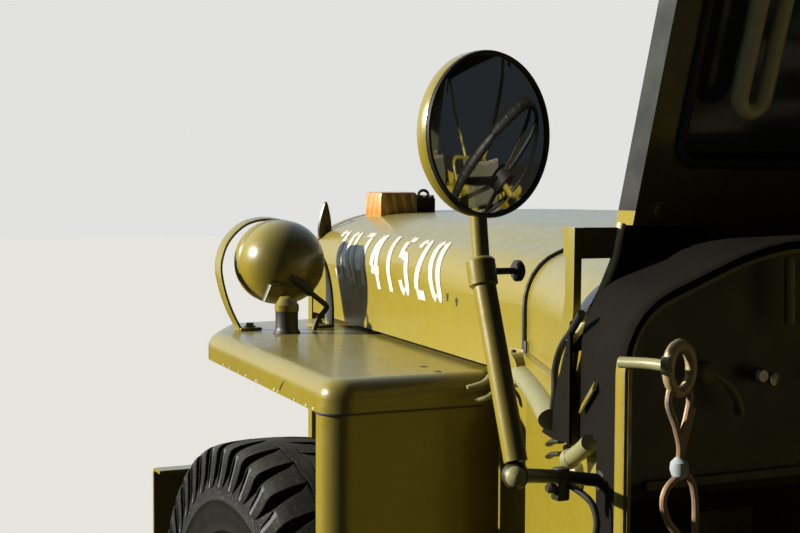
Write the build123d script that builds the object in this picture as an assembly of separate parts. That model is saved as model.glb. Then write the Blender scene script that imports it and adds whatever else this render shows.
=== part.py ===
from build123d import *
import os
from math import cos, sin, tan, radians, hypot

# An open-sided quarter-ton army 4x4 car with its canvas top up. Sizes are in millimetres.
# +X is forward, +Y is the car's left, +Z is up, and the origin is on the ground under the middle.

# Main dimensions
wheelbase = 2032.0
track = 1244.0
front_overhang = 533.0
rear_overhang = 762.0
sheet = 3.0
panel_gap = 6.5
touch_gap = 0.3

front_axle_x = (wheelbase + front_overhang + rear_overhang) / 2 - front_overhang
rear_axle_x = front_axle_x - wheelbase
bumper_front_x = front_axle_x + front_overhang

# Wheels and tyres
tyre_radius = 358.0
tyre_half_width = 82.0
tread_half_width = 66.0
rim_radius = 203.0
rim_half_width = 58.0
rim_flange = 14.0
rim_sheet = 5.0
disc_y = 18.0
drum_radius = 122.0
drum_depth = 52.0
hub_radius = 42.0
hub_nose = 78.0
spindle_radius = 20.0
bearing_clearance = 0.1
wheel_y = track / 2
axle_z = tyre_radius

# Chassis rails and bumper
rail_outer_y = 371.0
rail_width = 45.0
rail_height = 100.0
rail_wall = 5.0
rail_bottom_z = axle_z + 90.0
cross_tube_radius = 26.0
bumper_half_width = 660.0
bumper_height = 150.0
bumper_depth = 44.0
bumper_wall = 6.0
bumper_z = rail_bottom_z + 62.0

# Axles, knuckles and steering
axle_tube_radius = 37.0
diff_radius = 118.0
diff_y = -205.0
kingpin_y = wheel_y - 92.0
ball_radius = 70.0
knuckle_clearance = 5.0
knuckle_wall = 11.0
steer_arm = 165.0
tie_rod_radius = 12.0
steer_limit = 26.0
arm_z = axle_z - 48.0
tie_pin_radius = 9.0
tie_eye_radius = 18.0
spring_width = 44.0
leaf_thickness = 6.0
spring_y = rail_outer_y - rail_width / 2

# Body stations, measured along X
hood_front_x = front_axle_x + 383.0
hood_rear_x = front_axle_x - 470.0
grille_depth = 16.0
grille_back_x = hood_front_x + panel_gap
cowl_front_x = hood_rear_x - panel_gap
cowl_rear_x = front_axle_x - 900.0
dash_x = front_axle_x - 850.0
fender_rear_x = front_axle_x - 380.0
tub_rear_x = rear_axle_x - 560.0

# Body heights and widths
floor_z = rail_bottom_z + rail_height + sheet + touch_gap
sill_z = floor_z - 52.0
tub_top_z = 905.0
tub_half_width = 695.0
fender_top_z = 851.0
fender_depth = 40.0
skirt_inset = 2.0
fender_half_width = 716.0
fender_edge_radius = 22.0
fender_corner = 32.0
fender_front_radius = 90.0
fender_tip_radius = 55.0
hood_bottom_z = fender_top_z + panel_gap
dash_bottom_z = 822.0
well_inner_y = tub_half_width - 180.0
well_top_z = 800.0
well_half_length = 424.0

# Windshield, leaning back
windshield_lean = 17.3
windshield_x = front_axle_x - 724.0
windshield_z = 1020.0
windshield_half_width = 565.0
windshield_height = 530.0
frame_depth = 26.0
side_rail = 34.0
divider_width = 30.0
window_bottom = 76.0
window_top = 484.0
glass_thickness = 6.0

# What the tub's rear carries
jerrycan_y1 = tub_half_width - 195.0
jerrycan_y0 = jerrycan_y1 - 330.0
spare_y = jerrycan_y0 - 27.0 - tyre_radius
bumperette_top_z = sill_z + 22.0
bumperette_inner_y = 220.0 - spare_y
spare_z = bumperette_top_z - 62.0 + tyre_radius
spare_x = tub_rear_x - 26.0 - tyre_half_width

# Canvas top and its bows
canvas = 5.0
bow_radius = 12.7
front_bow_x = front_axle_x - 1500.0
front_bow_z = 1748.0
rear_bow_x = front_axle_x - 2330.0
rear_bow_z = 1690.0
bow_foot_x = front_axle_x - 1960.0
bow_foot_z = well_top_z + 50.0
bow_half_width = tub_half_width - 105.0

# Steering wheel and column
column_y = 295.0
column_angle = 37.0
column_radius = 20.0
steering_wheel_radius = 219.0
steering_wheel_x = front_axle_x - 1175.0
dash_pass_z = dash_bottom_z - 40.0


# Helpers

def ahead(distance):
    """X of a place this far ahead of the front axle."""
    return front_axle_x + distance


def behind(distance):
    """X of a place this far behind the rear axle."""
    return rear_axle_x - distance


def block(x0, x1, y0, y1, z0, z1):
    """A block between two corners."""
    middle = Pos((x0 + x1) / 2, (y0 + y1) / 2, (z0 + z1) / 2)
    return middle * Box(abs(x1 - x0), abs(y1 - y0), abs(z1 - z0))


def outline(points, radii=None):
    """A flat face inside a closed outline, with a corner radius for each point."""
    if radii is None:
        return make_face(Polyline(*points, close=True))
    return make_face(FilletPolyline(*points, radius=radii, close=True))


def side_plate(points, y0, y1, radii=None):
    """An outline in X and Z, given a thickness from y0 to y1."""
    plane = Plane(origin=(0, y1, 0), x_dir=(1, 0, 0), z_dir=(0, -1, 0))
    return extrude(plane * outline(points, radii), y1 - y0)


def plan_plate(points, z0, z1, radii=None):
    """An outline in X and Y, given a thickness from z0 to z1."""
    return extrude(Pos(0, 0, z0) * outline(points, radii), z1 - z0)


def cross_plane(x):
    """A plane across the car, with its own axes along Y and Z."""
    return Plane(origin=(x, 0, 0), x_dir=(0, 1, 0), z_dir=(1, 0, 0))


def cross_plate(points, x0, x1, radii=None):
    """An outline in Y and Z, given a thickness from x0 to x1."""
    return extrude(cross_plane(x0) * outline(points, radii), x1 - x0)


def rod(start, end, radius):
    """A round bar between two places."""
    direction = Vector(*end) - Vector(*start)
    plane = Plane(origin=start, z_dir=direction)
    return extrude(plane * Circle(radius), direction.length)


def pipe(points, radius, bend):
    """A round bar along straight lines with rounded corners."""
    path = FilletPolyline(*points, radius=bend)
    start = Plane(origin=path @ 0, z_dir=path % 0)
    return sweep(start * Circle(radius), path=path)


def cross_rod(x, y0, y1, z, radius):
    """A round bar along Y."""
    return rod((x, y0, z), (x, y1, z), radius)


def pair(shape):
    """The left piece together with its mirror image on the right."""
    return shape + mirror(shape, about=Plane.XZ)


# Sections of the hood and the cowl: half width, shoulder height, roof edge, crown
hood_front_arch = (422.0, 984.0, 330.0, 1025.0, 1033.0)
hood_rear_arch = (517.0, 977.0, 397.0, 1022.0, 1040.0)
cowl_rear_arch = (679.0, 962.0, 545.0, 1014.0, 1044.0)
shoulder_radius = 60.0
roof_radius = 250.0
hinge_x = hood_rear_x - panel_gap / 2
hinge_z = hood_rear_arch[4] + 9.0
hinge_radius = 8.0
hinge_pin_radius = 4.0
hinge_places = (-265.0, 0.0, 265.0)


def arch(arch_sizes, bottom_z, grow=0.0):
    """The arched section of hood and cowl, grown outward by a small amount."""
    half_width, shoulder_z, roof_y, roof_z, crown_z = arch_sizes
    half_width = half_width + grow
    shoulder_z = shoulder_z + grow * 0.8
    roof_z = roof_z + grow
    crown_z = crown_z + grow
    crown_radius = 0.6 * roof_y * roof_y / (crown_z - roof_z)
    points = [
        (-half_width, bottom_z),
        (-half_width, shoulder_z),
        (-roof_y, roof_z),
        (0, crown_z),
        (roof_y, roof_z),
        (half_width, shoulder_z),
        (half_width, bottom_z),
    ]
    corner = shoulder_radius + grow
    radii = [0, corner, roof_radius, crown_radius, roof_radius, corner, 0]
    return outline(points, radii)


def arched_solid(front_x, rear_x, front_arch, rear_arch, bottom_z, grow=0.0):
    """A solid between a front and a rear arch."""
    front = cross_plane(front_x) * arch(front_arch, bottom_z, grow)
    rear = cross_plane(rear_x) * arch(rear_arch, bottom_z, grow)
    return loft([front, rear], ruled=True)


def arch_between(front_arch, rear_arch, share):
    """The arch a given share of the way from the front one to the rear one."""
    return tuple(a + (b - a) * share for a, b in zip(front_arch, rear_arch))


def hood_half_width(x):
    """Half width of the hood's side at a place along X."""
    share = (hood_front_x - x) / (hood_front_x - hood_rear_x)
    return hood_front_arch[0] + (hood_rear_arch[0] - hood_front_arch[0]) * share


def cowl_half_width(x):
    """Half width of the cowl's side at a place along X."""
    share = (cowl_front_x - x) / (cowl_front_x - cowl_rear_x)
    return hood_rear_arch[0] + (cowl_rear_arch[0] - hood_rear_arch[0]) * share


def cowl_block(grow=0.0, bottom_z=sill_z):
    """The cowl as a full solid, used to cut the pieces that meet it."""
    return arched_solid(cowl_front_x, cowl_rear_x, hood_rear_arch, cowl_rear_arch, bottom_z, grow)


# Chassis

rail_front_x = bumper_front_x - bumper_wall - touch_gap
rail_rear_x = tub_rear_x + 12.0
rail_top_z = rail_bottom_z + rail_height
rail_mid_z = (rail_bottom_z + rail_top_z) / 2
rail_web_y = rail_outer_y - rail_wall


def make_frame():
    rail_inner_y = rail_outer_y - rail_width
    rail = block(rail_rear_x, rail_front_x, rail_inner_y, rail_outer_y, rail_bottom_z, rail_top_z)
    hollow = block(
        rail_rear_x - 1,
        rail_front_x + 1,
        rail_inner_y - 1,
        rail_web_y,
        rail_bottom_z + rail_wall,
        rail_top_z - rail_wall,
    )
    frame = pair(rail - hollow)
    for x in (ahead(400), ahead(225), rear_axle_x + 600, behind(250)):
        frame = frame + cross_rod(x, -rail_web_y - 1, rail_web_y + 1, rail_mid_z, cross_tube_radius)
    rear_bar = block(rail_rear_x, rail_rear_x + 50, -600, 600, rail_bottom_z, rail_top_z)
    rear_hollow = block(
        rail_rear_x + rail_wall,
        rail_rear_x + 51,
        -601,
        601,
        rail_bottom_z + rail_wall,
        rail_top_z - rail_wall,
    )
    return frame + (rear_bar - rear_hollow)


def make_front_bumper():
    x1 = bumper_front_x
    x0 = x1 - bumper_depth
    z0 = bumper_z - bumper_height / 2
    z1 = bumper_z + bumper_height / 2
    w = bumper_wall
    points = [
        (x0, z0),
        (x1, z0),
        (x1, z1),
        (x0, z1),
        (x0, z1 - w),
        (x1 - w, z1 - w),
        (x1 - w, z0 + w),
        (x0, z0 + w),
    ]
    radii = [0, 14, 14, 0, 0, 8, 8, 0]
    bar = side_plate(points, -bumper_half_width, bumper_half_width, radii)
    tab_y = rail_outer_y + touch_gap
    tab = block(x0, x1 - w + 1, tab_y, rail_outer_y + 12, z0 + 1, rail_top_z)
    return bar + pair(tab)


def make_rear_bumperettes():
    x1 = tub_rear_x - panel_gap
    x0 = x1 - 180
    z0 = bumperette_top_z - 90
    z1 = bumperette_top_z
    a = bumperette_inner_y
    b = bumperette_inner_y + 165
    outer = plan_plate([(x1, a), (x0, a + 15), (x0, b - 15), (x1, b)], z0, z1, [0, 40, 40, 0])
    hollow = [(x1 + 1, a + 6), (x0 + 6, a + 21), (x0 + 6, b - 21), (x1 + 1, b - 6)]
    inner = plan_plate(hollow, z0 - 1, z1 + 1, [0, 34, 34, 0])
    foot = block(x1 - 2, rail_rear_x - touch_gap, a, b, rail_bottom_z, sill_z - 2)
    left = (outer - inner) + foot
    hook_x = rail_rear_x - touch_gap
    hook = block(hook_x - 60, hook_x, -28, 28, rail_bottom_z + 4, sill_z - 6)
    ring = Pos(hook_x - 92, 0, rail_bottom_z + 20) * (Cylinder(40, 22) - Cylinder(22, 30))
    return pair(left) + (hook + ring)


def leaf_spring(axle_x, half_length):
    """The left leaf spring over an axle, with its hangers."""
    bottom_z = axle_z + axle_tube_radius + 8 + touch_gap
    y0 = spring_y - spring_width / 2
    y1 = spring_y + spring_width / 2
    leaves = 6
    spring = None
    for number in range(leaves):
        length = half_length * (0.3 + 0.7 * number / (leaves - 1))
        z0 = bottom_z + number * leaf_thickness
        leaf = block(axle_x - length, axle_x + length, y0, y1, z0, z0 + leaf_thickness)
        spring = leaf if spring is None else spring + leaf
    eye_z = bottom_z + (leaves - 1) * leaf_thickness
    for x in (axle_x - half_length, axle_x + half_length):
        spring = spring + cross_rod(x, y0, y1, eye_z, 13)
        spring = spring + cross_rod(x, rail_outer_y - rail_width - 7, rail_outer_y + 7, eye_z, 7)
        for side_y in (rail_outer_y + touch_gap, rail_outer_y - rail_width - touch_gap - 6):
            spring = spring + block(x - 24, x + 24, side_y, side_y + 6, eye_z - 16, rail_mid_z)
    return spring


def damper(axle_x, lean):
    """A shock damper between axle and rail, outside the rail."""
    foot = (axle_x + lean, rail_outer_y + 26, axle_z + 30)
    head = (axle_x + lean * 2.3, rail_outer_y + 26, rail_top_z - 24)
    tube = rod(foot, head, 20)
    top = cross_rod(head[0], rail_outer_y + touch_gap, head[1], head[2] - 6, 10)
    return tube + top


def make_springs():
    front = leaf_spring(front_axle_x, 460.0)
    rear = leaf_spring(rear_axle_x, 455.0) + damper(rear_axle_x, 70.0)
    return pair(front) + pair(rear)


def axle_common(axle_x, tube_end_y):
    """Axle tube, differential and spring seats."""
    axle = cross_rod(axle_x, -tube_end_y, tube_end_y, axle_z, axle_tube_radius)
    axle = axle + Pos(axle_x, diff_y, axle_z) * Sphere(diff_radius)
    seat = block(
        axle_x - 60,
        axle_x + 60,
        spring_y - spring_width / 2,
        spring_y + spring_width / 2,
        axle_z,
        axle_z + axle_tube_radius + 8,
    )
    return axle + pair(seat)


def make_front_axle():
    axle = axle_common(front_axle_x, kingpin_y)
    ball = Pos(front_axle_x, kingpin_y, axle_z) * Sphere(ball_radius)
    return axle + pair(ball)


def make_rear_axle():
    axle = axle_common(rear_axle_x, wheel_y - 46)
    plate = cross_rod(rear_axle_x, wheel_y - 50, wheel_y - 44, axle_z, drum_radius - 14)
    spindle = cross_rod(rear_axle_x, wheel_y - 50, wheel_y + hub_nose - 10, axle_z, spindle_radius)
    return axle + pair(plate + spindle)


def make_knuckle():
    """The left front steering knuckle with its spindle and steering arm."""
    centre = Pos(front_axle_x, kingpin_y, axle_z)
    inner_radius = ball_radius + knuckle_clearance
    outer_radius = inner_radius + knuckle_wall
    shell = centre * (Sphere(outer_radius) - Sphere(inner_radius))
    keep = block(
        front_axle_x - 100,
        front_axle_x + 100,
        kingpin_y - 14,
        kingpin_y + 120,
        axle_z - 100,
        axle_z + 100,
    )
    shell = shell & keep
    pin_start = ball_radius + touch_gap
    pin_length = outer_radius - pin_start + 6
    top_pin = Pos(front_axle_x, kingpin_y, axle_z + pin_start + pin_length / 2) * Cylinder(13, pin_length)
    low_pin = Pos(front_axle_x, kingpin_y, axle_z - pin_start - pin_length / 2) * Cylinder(13, pin_length)
    spindle = cross_rod(
        front_axle_x,
        kingpin_y + inner_radius + 2,
        wheel_y + hub_nose - 10,
        axle_z,
        spindle_radius,
    )
    arm_x0 = front_axle_x + inner_radius
    arm_x1 = front_axle_x + steer_arm
    arm = block(arm_x0, arm_x1, kingpin_y - 13, kingpin_y + 13, arm_z, arm_z + 16)
    end = Pos(arm_x1, kingpin_y, arm_z + 8) * Cylinder(16, 16)
    pin = Pos(arm_x1, kingpin_y, arm_z - 16) * Cylinder(tie_pin_radius, 40)
    return shell + top_pin + low_pin + spindle + arm + end + pin


def make_tie_rod():
    bar_z = arm_z - 20.0
    x = front_axle_x + steer_arm
    bar = cross_rod(x, -kingpin_y, kingpin_y, bar_z, tie_rod_radius)
    for y in (-kingpin_y, kingpin_y):
        bar = bar + Pos(x, y, bar_z) * Cylinder(tie_eye_radius, 26)
    for y in (-kingpin_y, kingpin_y):
        bar = bar - Pos(x, y, bar_z) * Cylinder(tie_pin_radius + bearing_clearance, 60)
    return bar


# Wheels

def make_tyre():
    """A tyre about the Y axis, at the origin."""
    points = [
        (rim_radius + touch_gap, -rim_half_width),
        (rim_radius + rim_flange + 2, -rim_half_width),
        (rim_radius + 44, -tyre_half_width * 0.94),
        (tyre_radius - 62, -tyre_half_width),
        (tyre_radius - 18, -tyre_half_width * 0.95),
        (tyre_radius, -tread_half_width),
        (tyre_radius, tread_half_width),
        (tyre_radius - 18, tyre_half_width * 0.95),
        (tyre_radius - 62, tyre_half_width),
        (rim_radius + 44, tyre_half_width * 0.94),
        (rim_radius + rim_flange + 2, rim_half_width),
        (rim_radius + touch_gap, rim_half_width),
        (rim_radius + touch_gap, rim_half_width - 14),
        (rim_radius + 42, tyre_half_width * 0.80),
        (tyre_radius - 62, tyre_half_width - 12),
        (tyre_radius - 28, tread_half_width - 4),
        (tyre_radius - 28, -tread_half_width + 4),
        (tyre_radius - 62, -tyre_half_width + 12),
        (rim_radius + 42, -tyre_half_width * 0.80),
        (rim_radius + touch_gap, -rim_half_width + 14),
    ]
    radii = [0, 0, 24, 40, 12, 4, 4, 12, 40, 24, 0, 0, 0, 24, 24, 8, 8, 24, 24, 0]
    return revolve(outline(points, radii), Axis.Y)


def flat_ring(r0, r1, y0, y1):
    """The half section of a ring, for turning about the Y axis."""
    return outline([(r0, y0), (r1, y0), (r1, y1), (r0, y1)])


def make_wheel():
    """Rim, disc, drum and hub of a left wheel about the Y axis, at the origin."""
    bore = spindle_radius + bearing_clearance
    section = flat_ring(rim_radius - rim_sheet, rim_radius, -rim_half_width - 4, rim_half_width + 4)
    flange_y = rim_half_width + touch_gap
    section = section + flat_ring(rim_radius - rim_sheet, rim_radius + rim_flange, flange_y, flange_y + 4)
    section = section + flat_ring(rim_radius - rim_sheet, rim_radius + rim_flange, -flange_y - 4, -flange_y)
    section = section + flat_ring(bore, rim_radius - rim_sheet + 1, disc_y, disc_y + 6)
    section = section + flat_ring(drum_radius - 6, drum_radius, disc_y - drum_depth, disc_y + 1)
    section = section + flat_ring(bore, drum_radius, disc_y - 6, disc_y + 1)
    section = section + flat_ring(bore, hub_radius, disc_y - 6, hub_nose - 6)
    section = section + flat_ring(0, hub_radius, hub_nose - 7, hub_nose)
    wheel = revolve(section, Axis.Y)
    hole = Cylinder(13, 40)
    for number in range(5):
        turn = Rot(0, number * 72, 0) * Pos(158, disc_y, 0) * Rot(90, 0, 0)
        wheel = wheel - turn * hole
    return wheel


# Engine bay and front end

def make_power_unit():
    engine = block(ahead(-400), ahead(150), -105, 105, rail_mid_z - 12, 860)
    head = block(ahead(-360), ahead(110), -70, 70, 850, 915)
    pan = block(ahead(-380), ahead(-140), -90, 90, 436, rail_mid_z)
    fan = rod((ahead(140), 0, 700), (ahead(205), 0, 700), 26)
    blades = rod((ahead(190), 0, 700), (ahead(202), 0, 700), 170)
    cleaner = rod((ahead(-330), -215, 860), (ahead(-110), -215, 860), 62)
    cleaner_arm = block(ahead(-240), ahead(-200), -215, 0, 850, 875)
    gearbox = block(ahead(-700), ahead(-390), -85, 85, 400, rail_top_z - 8)
    transfer_case = block(ahead(-1060), ahead(-880), -250, 60, 385, rail_top_z - 8)
    neck = rod((ahead(-890), 0, 480), (ahead(-690), 0, 480), 45)
    unit = engine + head + pan + fan + blades + cleaner + cleaner_arm + gearbox + transfer_case + neck
    for x in (ahead(-60), ahead(-1000)):
        unit = unit + block(x, x + 40, -rail_web_y + touch_gap, rail_web_y - touch_gap, 500, 528)
    front_diff_x = front_axle_x - diff_radius - touch_gap
    rear_diff_x = rear_axle_x + diff_radius + touch_gap
    shaft_z = axle_z + 72
    front_shaft = rod((ahead(-885), diff_y, shaft_z), (front_diff_x, diff_y, axle_z + 12), 19)
    rear_shaft = rod((ahead(-1055), diff_y, shaft_z), (rear_diff_x, diff_y, axle_z + 12), 19)
    return unit + front_shaft + rear_shaft


def make_exhaust():
    pipe_radius = 19.0
    points = [
        (ahead(-250), -105 - touch_gap - 1, 700),
        (ahead(-250), -146, 700),
        (ahead(-280), -146, 338),
        (ahead(-440), -260, 338),
        (ahead(-700), -480, 405),
        (ahead(-950), -500, 470),
    ]
    muffler = rod((ahead(-940), -500, 470), (rear_axle_x + 620, -500, 470), 56)
    tail = pipe(
        [(rear_axle_x + 625, -500, 470), (rear_axle_x + 520, -500, 470), (rear_axle_x + 430, -660, 470)],
        pipe_radius,
        40,
    )
    hanger = block(ahead(-1190), ahead(-1150), -500, -rail_outer_y - touch_gap, 462, 474)
    return pipe(points, pipe_radius, 26) + muffler + tail + hanger


def make_radiator():
    x0 = ahead(272)
    x1 = ahead(330)
    core = block(x0, x1, -196, 196, 540, 940)
    tank = rounded_block(x0 - 8, x1 + 8, -204, 204, 925, 985, 14)
    cap = Pos(ahead(300), 0, 990) * Cylinder(32, 16)
    feet = block(ahead(215), x1, -60, 60, rail_mid_z + cross_tube_radius + touch_gap, 545)
    return core + tank + cap + feet


def rounded_block(x0, x1, y0, y1, z0, z1, radius):
    """A block with all its edges rounded."""
    shape = block(x0, x1, y0, y1, z0, z1)
    return fillet(shape.edges(), radius)


grille_bottom_z = 588.0
headlamp_y = 302.0
headlamp_z = 800.0
headlamp_radius = 86.0
slot_pitch = 43.0
slot_width = 25.0
slot_count = 9


def make_grille():
    x0 = grille_back_x
    x1 = grille_back_x + grille_depth
    face = cross_plane(x0) * arch(hood_front_arch, grille_bottom_z)
    shell = extrude(face, grille_depth)
    hollow = cross_plane(x0 - 1) * arch(hood_front_arch, grille_bottom_z + sheet, -sheet)
    shell = shell - extrude(hollow, grille_depth - sheet + 1)
    for number in range(slot_count):
        y = (number - (slot_count - 1) / 2) * slot_pitch
        slot = [
            (y - slot_width / 2, 640),
            (y + slot_width / 2, 640),
            (y + slot_width / 2, 975),
            (y - slot_width / 2, 975),
        ]
        shell = shell - cross_plate(slot, x0, x1 + 1, [12, 12, 12, 12])
    for y in (-headlamp_y, headlamp_y):
        shell = shell - rod((x0, y, headlamp_z), (x1 + 1, y, headlamp_z), headlamp_radius + 6)
    foot_y = rail_outer_y - rail_width
    foot = block(x0, x1, foot_y, rail_outer_y, rail_top_z + touch_gap, grille_bottom_z + 2)
    return shell + pair(foot)


def make_lamps():
    lamps = None
    for side in (-1, 1):
        y = side * headlamp_y
        bowl = rod((grille_back_x - 70, y, headlamp_z), (grille_back_x + 6, y, headlamp_z), headlamp_radius)
        back = rod((grille_back_x - 110, y, headlamp_z), (grille_back_x - 69, y, headlamp_z), 50)
        apron_y = hood_half_width(ahead(310)) - 14 - 8
        bracket = block(ahead(300), ahead(330), y, side * apron_y, headlamp_z + 4, headlamp_z + 16)
        lamp = bowl + back + bracket
        marker = Pos(grille_back_x + grille_depth + touch_gap + 12, side * 372, 905) * Rot(0, 90, 0)
        lamp = lamp + marker * Cylinder(28, 24)
        tail_x = tub_rear_x - touch_gap - 14
        tail = Pos(tail_x, side * 610, 800) * Rot(0, 90, 0) * Cylinder(40, 28)
        lamp = lamp + tail
        lamps = lamp if lamps is None else lamps + lamp
    return lamps


# Fenders

def fender_plan(inset):
    """Plan of the left fender's top, moved inward from its outer edges."""
    e = fender_half_width - inset
    inner_rear = hood_half_width(fender_rear_x) - 12
    points = [
        (fender_rear_x + inset, inner_rear),
        (fender_rear_x + inset, e),
        (ahead(190) - inset * 0.3, e - 45),
        (ahead(324) - inset, 600 - inset * 0.8),
        (ahead(356) - inset, 402),
    ]
    return points


def make_fender():
    """The left front fender: top, apron, rear skirt and inner splash panel."""
    bottom_z = fender_top_z - fender_depth
    corners = (fender_corner, fender_front_radius, fender_tip_radius)
    outer_radii = [0, *corners, 0]
    inner_radii = [0, *[radius - sheet for radius in corners], 0]
    outer = plan_plate(fender_plan(0), bottom_z, fender_top_z, outer_radii)
    inner = plan_plate(fender_plan(sheet), bottom_z - 1, fender_top_z - sheet, inner_radii)
    top_edges = outer.edges().filter_by(lambda e: abs(e.center().Z - fender_top_z) < 0.01)
    round_edges = [e for e in top_edges if e.center().Y > hood_half_width(e.center().X)]
    outer = fillet(round_edges, fender_edge_radius)
    low_edges = inner.edges().filter_by(lambda e: abs(e.center().Z - fender_top_z + sheet) < 0.01)
    inner_round = [e for e in low_edges if e.center().Y > hood_half_width(e.center().X)]
    inner = fillet(inner_round, fender_edge_radius - sheet)
    shell = outer - inner
    skirt_x0 = fender_rear_x + skirt_inset
    skirt_x1 = skirt_x0 + fender_corner + 2
    skirt_y = fender_half_width - skirt_inset
    inner_rear = hood_half_width(fender_rear_x) - 12
    skirt_plan = [(skirt_x0, inner_rear), (skirt_x0, skirt_y), (skirt_x1, skirt_y), (skirt_x1, inner_rear)]
    skirt = plan_plate(skirt_plan, sill_z, bottom_z + 10, [0, fender_corner - skirt_inset, 0, 0])
    cut_x = skirt_x0 + sheet
    cut_y = skirt_y - sheet
    cut_end = skirt_x1 + 1
    cut_plan = [(cut_x, inner_rear - 1), (cut_x, cut_y), (cut_end, cut_y), (cut_end, inner_rear - 1)]
    cut_corner = fender_corner - skirt_inset - sheet
    skirt = skirt - plan_plate(cut_plan, sill_z - 1, bottom_z + 11, [0, cut_corner, 0, 0])
    low_y = rail_outer_y + 8
    sections = []
    for x in (fender_rear_x, ahead(350)):
        top_y = hood_half_width(x) - 14
        points = [
            (low_y, rail_top_z + 3),
            (low_y + sheet, rail_top_z + 3),
            (top_y + sheet, fender_top_z - 1),
            (top_y, fender_top_z - 1),
        ]
        sections.append(cross_plane(x) * outline(points))
    splash = loft(sections, ruled=True)
    foot_y = rail_outer_y + touch_gap
    foot = block(ahead(-240), ahead(-200), foot_y, low_y + 2, rail_mid_z + 10, rail_top_z + 6)
    return shell + skirt + splash + foot


# Cowl, dash and tub

toe_top_z = 702.0
toe_front_x = cowl_front_x - sheet
toe_rear_x = ahead(-640)


def column_point(x):
    """Place on the steering column's axis at this X."""
    rise = tan(radians(column_angle))
    return (x, column_y, dash_pass_z + (dash_x - x) * rise)


def make_cowl():
    outer = cowl_block()
    inner = arched_solid(
        cowl_front_x + 1,
        cowl_rear_x - 1,
        hood_rear_arch,
        cowl_rear_arch,
        sill_z - 1,
        -sheet,
    )
    shell = outer - inner
    firewall_face = cross_plane(cowl_front_x - sheet) * arch(hood_rear_arch, toe_top_z, -1)
    firewall = extrude(firewall_face, sheet)
    side_y = hood_half_width(fender_rear_x) - 16
    side_top_z = fender_top_z - 3
    side_x = fender_rear_x - touch_gap
    side = block(cowl_front_x - 1, side_x, side_y, side_y + sheet, sill_z, side_top_z)
    post = block(cowl_front_x - sheet, cowl_front_x, side_y, hood_rear_arch[0] - 1, sill_z, side_top_z)
    cowl = shell + firewall + pair(side + post)
    for y in hinge_places:
        cowl = cowl + hinge_on_cowl(y)
    return cowl


def hinge_on_cowl(y):
    """Fixed half of one hood hinge: a leaf, two end knuckles and the pin."""
    half = 34.0
    knuckle = 16.0
    leaf = block(hinge_x - 44, hinge_x - hinge_radius - 2, y - half, y + half, hinge_z - 26, hinge_z - 3)
    hinge = leaf - cowl_block(-1.5)
    for side in (-1, 1):
        middle_y = y + side * (half - knuckle / 2)
        end = cross_rod(hinge_x, middle_y - knuckle / 2, middle_y + knuckle / 2, hinge_z, hinge_radius)
        web = block(
            hinge_x - hinge_radius - 3,
            hinge_x,
            middle_y - knuckle / 2,
            middle_y + knuckle / 2,
            hinge_z - hinge_radius + 1,
            hinge_z - 3,
        )
        hinge = hinge + end + web
    return hinge + cross_rod(hinge_x, y - half + 1, y + half - 1, hinge_z, hinge_pin_radius)


def hinge_on_hood(y):
    """Moving half of one hood hinge: a leaf and the middle knuckle."""
    half = 34.0 - 16.0 - 0.5
    knuckle = cross_rod(hinge_x, y - half, y + half, hinge_z, hinge_radius)
    leaf = block(hinge_x, hinge_x + 44, y - half, y + half, hinge_z - hinge_radius + 1, hinge_z - 3)
    root = block(hinge_x + hinge_radius + 2, hinge_x + 44, y - half, y + half, hinge_z - 26, hinge_z - 3)
    core = arched_solid(hood_front_x, hood_rear_x, hood_front_arch, hood_rear_arch, hood_bottom_z, -1.5)
    hinge = knuckle + leaf + (root - core)
    bore = hinge_pin_radius + bearing_clearance
    return hinge - cross_rod(hinge_x, y - half - 1, y + half + 1, hinge_z, bore)


def make_dash_panel():
    share = (cowl_front_x - dash_x) / (cowl_front_x - cowl_rear_x)
    size = arch_between(hood_rear_arch, cowl_rear_arch, share)
    face = cross_plane(dash_x - sheet) * arch(size, dash_bottom_z, -sheet - 1.6)
    panel = extrude(face, sheet)
    lip = block(dash_x - 8, dash_x, -size[0] + 30, size[0] - 30, dash_bottom_z - 6, dash_bottom_z + 1)
    panel = panel + lip
    for y, z, radius in ((0, 935, 48), (-95, 955, 26), (95, 955, 26), (-95, 890, 26), (95, 890, 26)):
        panel = panel + Pos(dash_x - sheet - 4, y, z) * Rot(0, 90, 0) * Cylinder(radius, 10)
    return panel


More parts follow.
